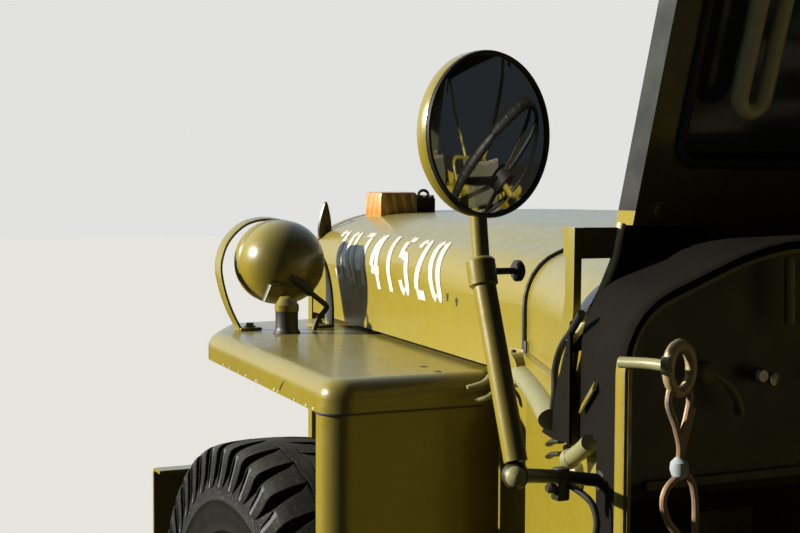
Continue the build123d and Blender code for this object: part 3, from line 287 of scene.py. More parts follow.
def woven(name, color, shade, pitch=0.0012):
    """Canvas: crossed threads with stains and flecks."""
    material, tree, shader, place = new_material(name, {"Roughness": 0.85, "Sheen Weight": 0.25})
    threads = []
    for axis in ("X", "Y", "Z"):
        values = {"Vector": place, "Scale": 0.314 / pitch, "Distortion": 0.4, "Detail": 1.0}
        threads.append(add_node(tree, "TexWave", values, bands_direction=axis).outputs["Fac"])
    height = reckon(tree, "ADD", reckon(tree, "ADD", threads[0], threads[1]), threads[2])
    stain = noise_mask(tree, place, 4.0, 0.35, 0.65, 6.0)
    fleck = noise_mask(tree, place, 240.0, 0.3, 0.7, 2.0)
    base = mixed(tree, stain, toned(color), toned(shade), 0.5)
    base = mixed(tree, fleck, base, toned(shade), 0.35)
    fill(tree, shader, {"Base Color": base, "Normal": relief(tree, height, 0.35, 0.0006)})
    return material


def wood_material():
    values = {"Coat Weight": 0.6, "Coat Roughness": 0.15, "Roughness": 0.45}
    material, tree, shader, place = new_material("varnished_wood_with_painted_light", values)
    turn = add_node(tree, "Mapping", {"Vector": place, "Rotation": (0.2, 0.1, math.radians(28))})
    values = {"Vector": turn.outputs[0], "Scale": 22.0, "Distortion": 3.0, "Detail": 3.0}
    wave = add_node(tree, "TexWave", values, bands_direction="X").outputs["Fac"]
    # Wood colours brighter than the wood is: partly its grain, partly painted light.
    base = mixed(tree, wave, toned((0.80, 0.40, 0.07)), toned((0.60, 0.21, 0.025)), 0.8)
    fill(tree, shader, {"Base Color": base})
    return material


def smeared(name, values, scale, low, high, smooth, rough):
    """Glass or a mirror, with smears that change its roughness."""
    material, tree, shader, place = new_material(name, values)
    smear = noise_mask(tree, place, scale, low, high, 5.0)
    fill(tree, shader, {"Roughness": remap(tree, smear, 0.0, 1.0, smooth, rough)})
    return material


def glass_material(name, color, alpha):
    values = {"Base Color": (*color, 1.0), "Roughness": 0.06, "IOR": 1.45, "Alpha": alpha}
    return smeared(name, values, 7.0, 0.3, 0.8, 0.04, 0.16)


def frame_material():
    """Paint turned near-black on the faces of the windshield that look sideways, above 1.045 m."""
    material = finishes["paint"].copy()
    material.name = "windshield_paint"
    tree = material.node_tree
    shader = tree.nodes["Principled BSDF"]
    painted_color = shader.inputs["Base Color"].links[0].from_socket
    sideways = remap(tree, reckon(tree, "ABSOLUTE", facing(tree, "Y")), 0.35, 0.50)
    position = add_node(tree, "NewGeometry").outputs["Position"]
    height = add_node(tree, "SeparateXYZ", {0: position}).outputs["Z"]
    above = reckon(tree, "GREATER_THAN", height, SIDE_BLACK_LOW)
    sideways_black = mixed(tree, reckon(tree, "MULTIPLY", sideways, above), painted_color, (0.016, 0.014, 0.008))
    fill(tree, shader, {"Base Color": sideways_black})
    return material



def make_materials():
    # The olive paint carries painted shade on its faces that look back.
    finishes["paint"] = surface(
        "olive_gloss", (0.375, 0.302, 0.028), (0.305, 0.242, 0.025), (0.26, 0.38), 0.05, 160.0,
        coat=0.25, dust=DUST, dust_amount=0.30, chip=(0.55, 0.51, 0.33), painted_rear_shade=0.72,
    )
    # A near-black copy of the olive paint: painted shade, on the dash and on small parts.
    finishes["paint_in_painted_shade"] = surface(
        "olive_painted_shade", (0.060, 0.058, 0.022), (0.035, 0.034, 0.016), (0.35, 0.5), 0.05, 160.0,
    )
    # A pale, greyed copy of the olive paint: painted sunlight, on tubes, knobs, rods and the mirror's ball.
    finishes["paint_in_painted_light"] = surface(
        "olive_painted_light", (0.36, 0.35, 0.17), (0.27, 0.26, 0.12), (0.35, 0.5), 0.04, 160.0,
    )
    finishes["chassis"] = surface(
        "chassis_olive", (0.115, 0.105, 0.035), (0.070, 0.062, 0.026), (0.45, 0.7), 0.12, 90.0,
        dust=DUST, dust_amount=0.6,
    )
    finishes["engine"] = surface(
        "engine_grey_green", (0.10, 0.115, 0.075), (0.045, 0.045, 0.035), (0.4, 0.7), 0.2, 70.0,
    )
    finishes["rubber"] = surface(
        "tyre_rubber", (0.016, 0.018, 0.021), (0.030, 0.029, 0.026), (0.55, 0.8), 0.25,
        dust=(0.13, 0.13, 0.12), dust_amount=0.8, blotch=6.0, specular=0.12, speck=(0.16, 0.16, 0.14),
    )
    finishes["rubber_worn"] = surface(
        "rubber_by_the_rim", (0.010, 0.012, 0.009), (0.018, 0.019, 0.015), (0.6, 0.85), 0.2,
        specular=0.1,
    )
    # Pale blue rubber: a painted highlight on the strips of the shoulder lugs.
    finishes["rubber_painted_highlight"] = surface(
        "lug_strip_painted_highlight", (0.13, 0.15, 0.17), (0.09, 0.105, 0.12), (0.6, 0.8), 0.1,
    )
    finishes["rubber_dark"] = surface(
        "black_rubber", (0.012, 0.012, 0.012), (0.022, 0.022, 0.021), (0.45, 0.65), 0.1,
    )
    finishes["pad"] = surface(
        "rubber_pad", (0.010, 0.009, 0.007), (0.014, 0.012, 0.009), (0.8, 0.95), 0.1, specular=0.05,
    )
    finishes["steel"] = surface(
        "worn_steel", (0.20, 0.17, 0.13), (0.32, 0.26, 0.18), (0.3, 0.5), 0.1, 90.0, metallic=0.8,
    )
    finishes["wire"] = surface(
        "rusty_wire", (0.40, 0.33, 0.27), (0.52, 0.30, 0.14), (0.35, 0.6), 0.15, 150.0, metallic=0.5,
        blotch=18.0,
    )
    finishes["brass"] = surface(
        "worn_brass", (0.62, 0.50, 0.26), (0.60, 0.34, 0.20), (0.35, 0.5), 0.08, metallic=0.35,
        blotch=30.0,
    )
    finishes["bead"] = surface(
        "blue_bead", (0.50, 0.58, 0.64), (0.36, 0.40, 0.42), (0.3, 0.5), 0.08, 150.0, blotch=40.0,
    )
    finishes["bright"] = surface(
        "bright_steel", (0.62, 0.60, 0.58), (0.45, 0.43, 0.40), (0.2, 0.35), 0.02, 150.0, metallic=0.9,
    )
    # Pale yellow that stands for sunlight: painted light on the slotted arms and on the apron's lip.
    finishes["painted_sunlight"] = surface(
        "pale_painted_sunlight", (0.90, 0.86, 0.52), (0.80, 0.74, 0.42), (0.3, 0.45), 0.03, 160.0, coat=0.3,
    )
    finishes["chipped"] = surface(
        "chipped_edge", (0.56, 0.50, 0.26), (0.40, 0.33, 0.12), (0.5, 0.7), 0.1, 200.0, blotch=60.0,
    )
    # Stripes brighter than their paint: painted sunlight on the rests' shaded rear faces.
    finishes["stripe"] = surface(
        "pale_stripe_with_painted_light", (0.92, 0.72, 0.36), (0.86, 0.62, 0.26), (0.3, 0.45), 0.03, 160.0,
    )
    finishes["white"] = surface(
        "stencil_white", (0.80, 0.80, 0.77), (0.66, 0.66, 0.62), (0.4, 0.55), 0.03, 160.0, blotch=12.0,
    )
    finishes["red"] = surface(
        "red_lens", (0.30, 0.015, 0.010), (0.20, 0.010, 0.008), (0.1, 0.2), 0.0, coat=0.5,
    )
    finishes["dial"] = surface("dial_face", (0.012, 0.012, 0.012), (0.02, 0.02, 0.02), (0.4, 0.5), 0.0)
    finishes["canvas"] = woven("olive_canvas", (0.150, 0.140, 0.060), (0.100, 0.092, 0.042))
    finishes["canvas_dark"] = woven("canvas_seam", (0.120, 0.112, 0.050), (0.085, 0.078, 0.036))
    finishes["cushion"] = woven("cushion_canvas", (0.130, 0.120, 0.048), (0.085, 0.078, 0.034))
    finishes["webbing"] = woven("webbing", (0.23, 0.21, 0.11), (0.16, 0.145, 0.075), 0.0018)
    # Near-black webbing: painted shade on the rests' ends.
    finishes["webbing_painted_shade"] = woven("webbing_painted_shade", (0.035, 0.028, 0.020), (0.022, 0.018, 0.014), 0.0018)
    finishes["wood"] = wood_material()
    finishes["glass"] = glass_material("dark_glass", (0.012, 0.011, 0.008), 0.97)
    finishes["lens"] = glass_material("lamp_glass", (0.75, 0.78, 0.76), 0.35)
    finishes["window"] = glass_material("clear_film", (0.70, 0.68, 0.58), 0.35)
    finishes["mirror"] = smeared(
        "mirror_glass", {"Base Color": (0.50, 0.50, 0.47, 1.0), "Metallic": 1.0}, 30.0, 0.4, 0.9, 0.01,
        0.08,
    )
    finishes["windshield"] = frame_material()


# Mesh helpers

def face_outward(mesh, sharp):
    """Turns all faces outward and shades them smooth, up to an angle between them in degrees."""
    build = bmesh.new()
    build.from_mesh(mesh)
    bmesh.ops.recalc_face_normals(build, faces=build.faces)
    build.to_mesh(mesh)
    build.free()
    mesh.shade_smooth()
    mesh.set_sharp_from_angle(angle=math.radians(sharp))


def merged(parts):
    """A mesh's vertices and faces from several lists of both."""
    vertices = []
    faces = []
    for part_vertices, part_faces in parts:
        offset = len(vertices)
        vertices.extend(tuple(v) for v in part_vertices)
        faces.extend(tuple(i + offset for i in face) for face in part_faces)
    return vertices, faces


def piece(name, parts, finish, body="chassis", sharp=35.0):
    """One piece of the scene that rides on a body, from several lists of vertices and faces."""
    vertices, faces = merged(parts)
    mesh = bpy.data.meshes.new(name)
    mesh.from_pydata(vertices, [], faces)
    mesh.validate()
    mesh.update()
    face_outward(mesh, sharp)
    mesh.materials.append(finishes[finish])
    thing = new_object(name, mesh)
    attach(thing, body)
    return thing


def painted(name, parts, finish="paint", body="chassis", sharp=35.0):
    """A piece in the given finish, which is the car's paint unless another is given."""
    return piece(name, parts, finish, body, sharp)


def loft(rows, ends=True, around=True, loop=False):
    """Vertices and faces over rows of places. Each row is closed, and loop joins the last to the first."""
    count = len(rows[0])
    faces = []
    for row in range(len(rows) if loop else len(rows) - 1):
        a = row * count
        b = (row + 1) % len(rows) * count
        for k in range(count if around else count - 1):
            n = (k + 1) % count
            faces.append((a + k, a + n, b + n, b + k))
    if ends:
        faces.append(tuple(reversed(range(count))))
        faces.append(tuple((len(rows) - 1) * count + k for k in range(count)))
    return [place for row in rows for place in row], faces


def basis(direction, hint=UPWARD):
    """Two unit vectors across a direction."""
    direction = Vector(direction).normalized()
    if abs(direction.dot(hint)) > 0.98:
        hint = AHEAD
    side = direction.cross(hint).normalized()
    return side, side.cross(direction).normalized()


def spokes(axis, count):
    side, up = basis(axis)
    angles = [2 * math.pi * step / count for step in range(count)]
    return [side * math.cos(angle) + up * math.sin(angle) for angle in angles]


def lathe(profile, place, axis, steps=48):
    """Vertices and faces of a turned shape: profile is (radius, height) along the axis, in mm."""
    axis = Vector(axis).normalized()
    ways = spokes(axis, steps)
    rows = []
    for radius, height in profile:
        rows.append([place + way * (max(radius, 0.02) * MM) + axis * (height * MM) for way in ways])
    return loft(rows)


def ring_shape(inner, outer, depth, place, axis, steps=36):
    """Vertices and faces of a flat ring."""
    axis = Vector(axis).normalized()
    section = ((inner, 0), (outer, 0), (outer, depth - 1), (outer - 1, depth), (inner + 1, depth),
               (inner, depth - 1))
    rows = []
    for way in spokes(axis, steps):
        rows.append([place + way * (radius * MM) + axis * (height * MM) for radius, height in section])
    return loft(rows, ends=False, loop=True)


def smooth_path(points, per_span=8):
    """Points along a smooth line through the given ones."""
    points = [Vector(p) for p in points]
    line = []
    for i in range(len(points) - 1):
        before = points[max(i - 1, 0)]
        start = points[i]
        end = points[i + 1]
        after = points[min(i + 2, len(points) - 1)]
        for step in range(per_span):
            t = step / per_span
            bend = (2 * before - 5 * start + 4 * end - after) * t * t
            twist = (3 * start - before - 3 * end + after) * t ** 3
            line.append(0.5 * (2 * start + (end - before) * t + bend + twist))
    line.append(points[-1])
    return line


def bar_section(w, h, r, sides):
    """Points round a bar's section: an oval with a number of sides, or else a rounded rectangle."""
    if sides:
        angles = [2 * math.pi * k / sides for k in range(sides)]
        return [(math.cos(angle) * w, math.sin(angle) * h) for angle in angles]
    ring = []
    for cx, cy, start in ((w - r, h - r, 0), (r - w, h - r, 90), (r - w, r - h, 180), (w - r, r - h, 270)):
        for k in range(3):
            angle = math.radians(start + 45 * k)
            ring.append((cx + r * math.cos(angle), cy + r * math.sin(angle)))
    return ring


def strip(points, width, thickness, across=None, corner=0.25, sides=None, taper=None):
    """Vertices and faces of a bar along points, with a rounded section, sizes in mm."""
    points = [Vector(p) for p in points]
    w = width * MM / 2
    h = thickness * MM / 2
    ring = bar_section(w, h, min(w, h) * corner * 2, sides)
    rows = []
    side = None
    for i, point in enumerate(points):
        along = (points[min(i + 1, len(points) - 1)] - points[max(i - 1, 0)]).normalized()
        if across is not None:
            side = Vector(across)
        if side is None:
            side = basis(along)[0]
        else:
            side = (side - along * side.dot(along)).normalized()
        up = along.cross(side)
        scale = 1.0 if taper is None else taper(i / (len(points) - 1))
        rows.append([point + side * (a * scale) + up * (b * scale) for a, b in ring])
    return loft(rows)


def round_bar(points, radius, sides=14, smooth=True, per_span=6):
    """Vertices and faces of a round bar along points, radius in mm."""
    line = smooth_path(points, per_span) if smooth and len(points) > 2 else points
    return strip(line, radius * 2, radius * 2, sides=sides)


def box_shape(low, high, round_off=2.0):
    """Vertices and faces of a box with bevelled edges, corners in metres, rounding in mm."""
    build = bmesh.new()
    bmesh.ops.create_cube(build, size=1.0)
    low = Vector(low)
    high = Vector(high)
    for vertex in build.verts:
        for k in range(3):
            vertex.co[k] = low[k] + (high[k] - low[k]) * (vertex.co[k] + 0.5)
    offset = min(round_off * MM, min(high - low) * 0.45)
    bmesh.ops.bevel(build, geom=list(build.edges), offset=offset, segments=2, affect="EDGES", profile=0.5)
    build.verts.ensure_lookup_table()
    shape = [v.co.copy() for v in build.verts], [tuple(v.index for v in f.verts) for f in build.faces]
    build.free()
    return shape


def box_at(side, ahead, left, up, round_off):
    """A box on one side of the car, from its ranges in mm."""
    low_y, high_y = sorted((side * left[0], side * left[1]))
    return box_shape(at(ahead[0], low_y, up[0]), at(ahead[1], high_y, up[1]), round_off)


def bolts(places, axis, radius, height):
    """Hexagon bolt heads with washers."""
    washer = [(radius * 1.35, 0), (radius * 1.35, 1.4), (radius * 1.25, 1.8), (0, 1.8)]
    head = [(radius, 1.6), (radius, height), (radius * 0.82, height + 1.4), (0, height + 1.4)]
    parts = []
    for place in places:
        parts += [lathe(washer, place, axis, 20), lathe(head, place, axis, 6)]
    return parts


# Tyres

TYRE_RADIUS = 358.0
LUGS = 42
LUG_PHASE = 1.96
BAND_OUTER = 20.0
BAND_INNER = 1.0
BAND_RADIUS = 357.4
TREAD_HALF = 81.0
RIB_SWING = 2.5
CASING_STEPS = 96
WORN_ROWS = 11
STRIP_EDGES = (4, 5)
STRIP_START = 7
STATION_REACH = 63.0

SIDEWALL = [
    # radius, distance from the tyre's middle plane
    (206, 46), (205, 56), (216, 60), (222, 66), (231, 71), (233, 73.5), (237, 73.5), (239, 73), (252, 76),
    (264, 78), (273, 79), (275.5, 80.8), (279, 80.8), (281, 79.6), (290, 79.4), (300, 78.4), (310, 76.0),
    (320, 73.0), (331, 68), (339, 60), (343, 40), (344, 16),
]
LUG_STATIONS = (
    # across, radius, way across, way up, depth, half width, depth of the strip, turn in degrees
    (-4.0, 355.4, 0.0, 1.0, 13.0, 25.8, 0.0, -0.3),
    (0.0, 357.0, 0.0, 1.0, 13.0, 25.8, 0.0, 0.0),
    (6.0, 357.0, 0.0, 1.0, 13.0, 23.8, 0.0, 0.6),
    (13.0, 356.6, 0.0, 1.0, 13.0, 21.3, 0.0, 1.2),
    (27.0, 355.8, 0.03, 1.0, 13.0, 19.3, 0.0, 2.0),
    (42.0, 354.0, 0.1, 0.99, 13.0, 17.3, 0.0, 2.9),
    (52.0, 351.8, 0.3, 0.95, 13.0, 16.0, 0.0, 3.5),
    (58.5, 348.0, 0.75, 0.66, 12.0, 15.6, 0.3, 3.8),
    (61.0, 342.0, 0.93, 0.36, 10.0, 15.8, 2.6, 3.5),
    (62.3, 327.0, 0.97, 0.2, 7.5, 15.8, 2.8, 2.65),
    (62.8, 310.0, 0.99, 0.1, 5.0, 14.8, 2.4, 1.0),
    (62.9, 300.0, 1.0, 0.0, 2.8, 12.8, 1.4, -0.1),
    (62.6, 294.0, 1.0, 0.0, 1.2, 9.0, 0.0, -0.8),
)
LUG_SECTION = (
    # share of the half width, height in shares of the depth
    (-1.0, -1.0), (-1.0, -0.12), (-0.94, 0.0), (-0.82, 0.0), (-0.76, 0.0), (-0.18, 0.0), (-0.12, 0.0),
    (0.94, 0.0), (1.0, -0.12), (1.0, -1.0),
)
RIB_SECTION = ((-1.0, -9), (-1.0, -2.2), (-0.82, -0.3), (0.82, -0.3), (1.0, -2.2), (1.0, -9))


def tyre_point(angle, radius, y):
    return Vector((-math.sin(angle) * radius, y, math.cos(angle) * radius)) * MM


def add_casing(parts, marks):
    """The carcass under the tread, with worn rubber in the rows beside the rim."""
    section = SIDEWALL + [(345, 0)] + [(r, -y) for r, y in reversed(SIDEWALL)]
    angles = [-2 * math.pi * step / CASING_STEPS for step in range(CASING_STEPS)]
    parts.append(loft([[tyre_point(angle, r, y) for angle in angles] for r, y in section], ends=False))
    last = len(section) - 1
    for row in range(last):
        worn = row < WORN_ROWS or row >= last - WORN_ROWS
        marks.extend([2 if worn else 0] * CASING_STEPS)


def add_lugs(parts, marks, side):
    """One half of the tread: lugs that run from the middle band over the shoulder."""
    pitch = 360.0 / LUGS
    stagger = 0.0 if side > 0 else 0.5
    inner = BAND_OUTER if side > 0 else BAND_INNER
    for lug in range(LUGS):
        middle = LUG_PHASE + (lug + stagger) * pitch
        rows = []
        for reach, r, across, up, depth, half, strip_sink, turn in LUG_STATIONS:
            y = inner + reach * (TREAD_HALF - inner) / STATION_REACH
            row = []
            for k, (share, height) in enumerate(LUG_SECTION):
                drop = strip_sink if k in STRIP_EDGES else -height * depth
                angle = math.radians(middle + turn) + share * half / r
                row.append(tyre_point(angle, r - up * drop, side * (y - across * drop)))
            rows.append(row)
        vertices, faces = loft(rows, around=False)
        if side < 0:
            faces = [tuple(reversed(face)) for face in faces]
        parts.append((vertices, faces))
        for i in range(len(LUG_STATIONS) - 1):
            for k in range(len(LUG_SECTION) - 1):
                # Faces marked 1 take the pale blue rubber: a painted highlight along the strip of each
                # shoulder lug.
                marks.append(1 if k == STRIP_EDGES[0] and i >= STRIP_START else 0)
        marks.extend((0, 0))


def add_band(parts, marks):
    """The winding band of solid rubber between the two halves of the tread."""
    stations = LUGS * 4
    middle = (BAND_OUTER - BAND_INNER) / 2
    half = (BAND_OUTER + BAND_INNER) / 2 + 1.5
    rows = []
    for station in range(stations):
        angle = math.radians(LUG_PHASE + station * 360.0 / stations)
        wave = (abs((station % 4) - 2) - 1.0) * RIB_SWING
        middle_y = middle + wave
        row = []
        for share, sink in RIB_SECTION:
            row.append(tyre_point(angle, BAND_RADIUS + sink, middle_y + share * half))
        rows.append(row)
    vertices, faces = loft(rows, ends=False, around=False, loop=True)
    parts.append((vertices, faces))
    marks.extend([0] * len(faces))


def tyre_mesh():
    parts = []
    marks = []
    add_casing(parts, marks)
    for side in BOTH:
        add_lugs(parts, marks, side)
    add_band(parts, marks)
    vertices, faces = merged(parts)
    mesh = bpy.data.meshes.new("tyre")
    mesh.from_pydata(vertices, [], faces)
    for finish in ("rubber", "rubber_painted_highlight", "rubber_worn"):
        mesh.materials.append(finishes[finish])
    mesh.polygons.foreach_set("material_index", marks)
    face_outward(mesh, 32)
    mesh.update()
    return mesh


WHEEL_PLACES = (
    ("front_left", 0.0, 1),
    ("front_right", 0.0, -1),
    ("rear_left", -WHEELBASE, 1),
    ("rear_right", -WHEELBASE, -1),
)
SPARE_AXLE = at(-2700.0, -215.0, 818.0)


def make_tyres():
    mesh = tyre_mesh()
    places = []
    for name, ahead_mm, side in WHEEL_PLACES:
        centre = at(ahead_mm, side * TRACK / 2, TYRE_RADIUS)
        places.append((name, "wheel_" + name, "tyre_" + name, centre, 0))
    places.append(("spare", "chassis", "spare_tyre", SPARE_AXLE, 90))
    for name, body, node, centre, turn in places:
        tyre = new_object("tread_" + name, mesh)
        tyre.location = centre
        tyre.rotation_euler = (0, 0, math.radians(turn))
        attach(tyre, body)
        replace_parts(tyre, node)


def round_the_hub(count, first, centre, axis, radius, height, profile):
    """Hexagon heads in a circle round a wheel's middle."""
    parts = []
    for number in range(count):
        angle = math.radians(360 / count * number + first)
        c, s = math.cos(angle), math.sin(angle)
        spoke = Vector((c, 0, s)) if axis.y else Vector((0, c, s))
        parts.append(lathe(profile, centre + spoke * radius + axis * height, axis, 6))
    return parts


WHEEL_NUT = [(12, 0), (12, 5), (9, 9), (9, 18), (7, 20), (0, 20)]
CAP_BOLT = [(5.5, -0.4), (5.5, 3.5), (4.5, 4.2), (0, 4.2)]


def make_wheel_fittings():
    """Wheel nuts, a hub cap with its bolts and a valve on each wheel, and nuts on the spare."""
    for name, ahead_mm, side in WHEEL_PLACES:
        centre = at(ahead_mm, side * TRACK / 2, TYRE_RADIUS)
        axis = Vector((0, side, 0))
        parts = round_the_hub(5, 36, centre, axis, 0.070, 0.0242, WHEEL_NUT)
        parts += round_the_hub(6, 0, centre, axis, 0.031, 0.0782, CAP_BOLT)
        cap = [(24, -0.5), (24, 5), (20, 9), (8, 11), (0, 11)]
        parts.append(lathe(cap, centre + axis * 0.078, axis, 32))
        valve = centre + Vector((0.158, 0, 0.075)) + axis * 0.030
        parts.append(lathe([(5, -6), (5, 16), (4, 17), (4, 26), (2, 27), (0, 27)], valve, axis, 12))
        painted("fittings_wheel_" + name, parts, body="wheel_" + name)
    painted("fittings_spare", round_the_hub(5, 36, SPARE_AXLE, BEHIND, 0.070, 0.0242, WHEEL_NUT))


# Skins over the bent sheets, worked out from the same arches as the body

HOOD_FRONT = (422.0, 984.0, 330.0, 1025.0, 1033.0)
HOOD_REAR = (517.0, 977.0, 397.0, 1022.0, 1040.0)
COWL_REAR = (679.0, 962.0, 545.0, 1014.0, 1044.0)
HOOD_SPAN = (383.0, -470.0)
COWL_SPAN = (-476.5, -900.0)
COWL_FLARE = (COWL_REAR[0] - HOOD_REAR[0]) / (COWL_SPAN[0] - COWL_SPAN[1])
SHOULDER = 60.0
ROOF = 250.0
SIDE_START = 920.0
WALL_FOOT = 850.0


def rounded_corner(before, corner, after, radius, steps):
    """Points of a tangent arc that rounds a corner in a plane."""
    before, corner, after = Vector(before), Vector(corner), Vector(after)
    first = (before - corner).normalized()
    second = (after - corner).normalized()
    half = first.angle(second) / 2
    reach = radius / math.tan(half)
    centre = corner + (first + second).normalized() * (radius / math.sin(half))
    start = corner + first * reach - centre
    end = corner + second * reach - centre
    turn = start.angle(end)
    points = []
    for step in range(steps + 1):
        share = step / steps
        swing = start * math.sin((1 - share) * turn) + end * math.sin(share * turn)
        points.append(centre + swing / math.sin(turn))
    return points


def arch_points(sizes):
    """Points of the left half of an arch, from its crown down to its foot, as (y, z) in mm."""
    half_width, shoulder_z, roof_y, roof_z, crown_z = sizes
    crown_radius = 0.6 * roof_y * roof_y / (crown_z - roof_z)
    corners = [(-roof_y, roof_z), (0, crown_z), (roof_y, roof_z), (half_width, shoulder_z),
               (half_width, WALL_FOOT)]
    points = [p for p in rounded_corner(*corners[0:3], crown_radius, 12) if p.x >= -1e-6]
    points.extend(rounded_corner(*corners[1:4], ROOF, 10))
    points.extend(rounded_corner(*corners[2:5], SHOULDER, 14))
    points.append(Vector(corners[4]))
    return points


HOOD_LINES = (arch_points(HOOD_FRONT), arch_points(HOOD_REAR))
COWL_LINES = (arch_points(HOOD_REAR), arch_points(COWL_REAR))


def arch_at(ahead_mm):
    """Points of the hood's or the cowl's arch at a distance ahead, from the foot up to the crown."""
    if ahead_mm > COWL_SPAN[0] + 3:
        span, lines = HOOD_SPAN, HOOD_LINES
    else:
        span, lines = COWL_SPAN, COWL_LINES
    share = (span[0] - ahead_mm) / (span[0] - span[1])
    return [front + (rear - front) * share for front, rear in zip(*lines)][::-1]


def wall_width(ahead_mm):
    """Distance of the upright side wall from the middle of the car."""
    return arch_at(ahead_mm)[0].x


def side_station(ahead_mm, climb, side=1):
    """Place on the hood or cowl at a distance up along its side from 920 mm, and its outward direction."""
    points = arch_at(ahead_mm)
    left = climb
    for first, second in zip(points, points[1:]):
        if second.y <= SIDE_START:
            continue
        start = first
        if first.y < SIDE_START:
            start = first + (second - first) * ((SIDE_START - first.y) / (second.y - first.y))
        run = second - start
        if run.length >= left:
            here = start + run.normalized() * left
            out = Vector((run.y, -run.x)).normalized()
            return at(ahead_mm, side * here.x, here.y), Vector((0, side * out.x, out.y))
        left -= run.length
    return at(ahead_mm, side * points[-1].x, points[-1].y), UPWARD.copy()


def arch_run(ahead_mm, side, first, lift):
    """Places up along the arch from its side to the middle of the car, lifted off the sheet."""
    run = []
    for number in range(60):
        spot, normal = side_station(ahead_mm, first + number * 13.0, side)
        if spot.y * side < 0.01:
            break
        run.append(spot + normal * (lift * MM))
    return run


DIGITS = {
    # strokes of each digit, as (along, up) in half millimetres
    "0": (((16, 108), (8, 98), (6, 56), (8, 14), (16, 4)),
          ((23, 108), (31, 98), (33, 56), (31, 14), (23, 4))),
    "1": (((20, 0), (20, 112)),),
    "2": (((6, 88), (8, 100), (16, 107)), ((22, 107), (30, 100), (32, 84), (27, 62), (10, 24), (7, 12)),
          ((5, 5), (34, 5))),
    "3": (((6, 92), (9, 103), (16, 108)), ((22, 108), (30, 101), (31, 84), (29, 68), (20, 60)),
          ((22, 54), (30, 48), (33, 28), (30, 10), (22, 4)), ((16, 4), (8, 10), (6, 24))),
    "4": (((27, 0), (27, 112)), ((20, 108), (5, 40)), ((3, 34), (19, 34)), ((35, 34), (39, 34))),
    "5": (((33, 106), (12, 106)), ((9, 98), (7, 62)),
          ((12, 64), (22, 68), (31, 60), (33, 34), (30, 12), (22, 4)), ((16, 4), (8, 10), (6, 24))),
    "7": (((4, 106), (35, 106)), ((32, 97), (15, 0))),
}
NUMBER = "30741520"
DIGIT_PITCH = 61.0


def painted_strokes(name, strokes, width, place, finish):
    """Flat painted strokes laid on the hood: place turns (u, v) into a point and its normal."""
    parts = []
    for stroke in strokes:
        line = [Vector((u, v, 0)) for u, v in stroke]
        if len(line) > 2:
            line = smooth_path(line, 6)
        else:
            run = line[1] - line[0]
            steps = max(int(run.length / 5), 1)
            line = [line[0] + run * (k / steps) for k in range(steps + 1)]
        rows = []
        for i, point in enumerate(line):
            along = line[min(i + 1, len(line) - 1)] - line[max(i - 1, 0)]
            side = Vector((-along.y, along.x, 0)).normalized() * (width / 2)
            row = []
            for edge in (point - side, point + side):
                spot, normal = place(edge.x, edge.y)
                row.append(spot + normal * 0.0006)
            rows.append(row)
        parts.append(loft(rows, ends=False, around=False))
    piece(name, parts, finish, "hood", sharp=60.0)


def make_digits():
    strokes = []
    for number, digit in enumerate(NUMBER):
        for stroke in DIGITS[digit]:
            strokes.append([(u + number * DIGIT_PITCH, v) for u, v in stroke])
    for side, word in SIDES:
        def place(u, v, side=side, start=240.0 if side > 0 else -226.0):
            return side_station(start - side * u + v * 0.50, v * 0.80, side)

        painted_strokes("digits_" + word, strokes, 15.5, place, "white")


# Lamp on the left fender, its guard and lead

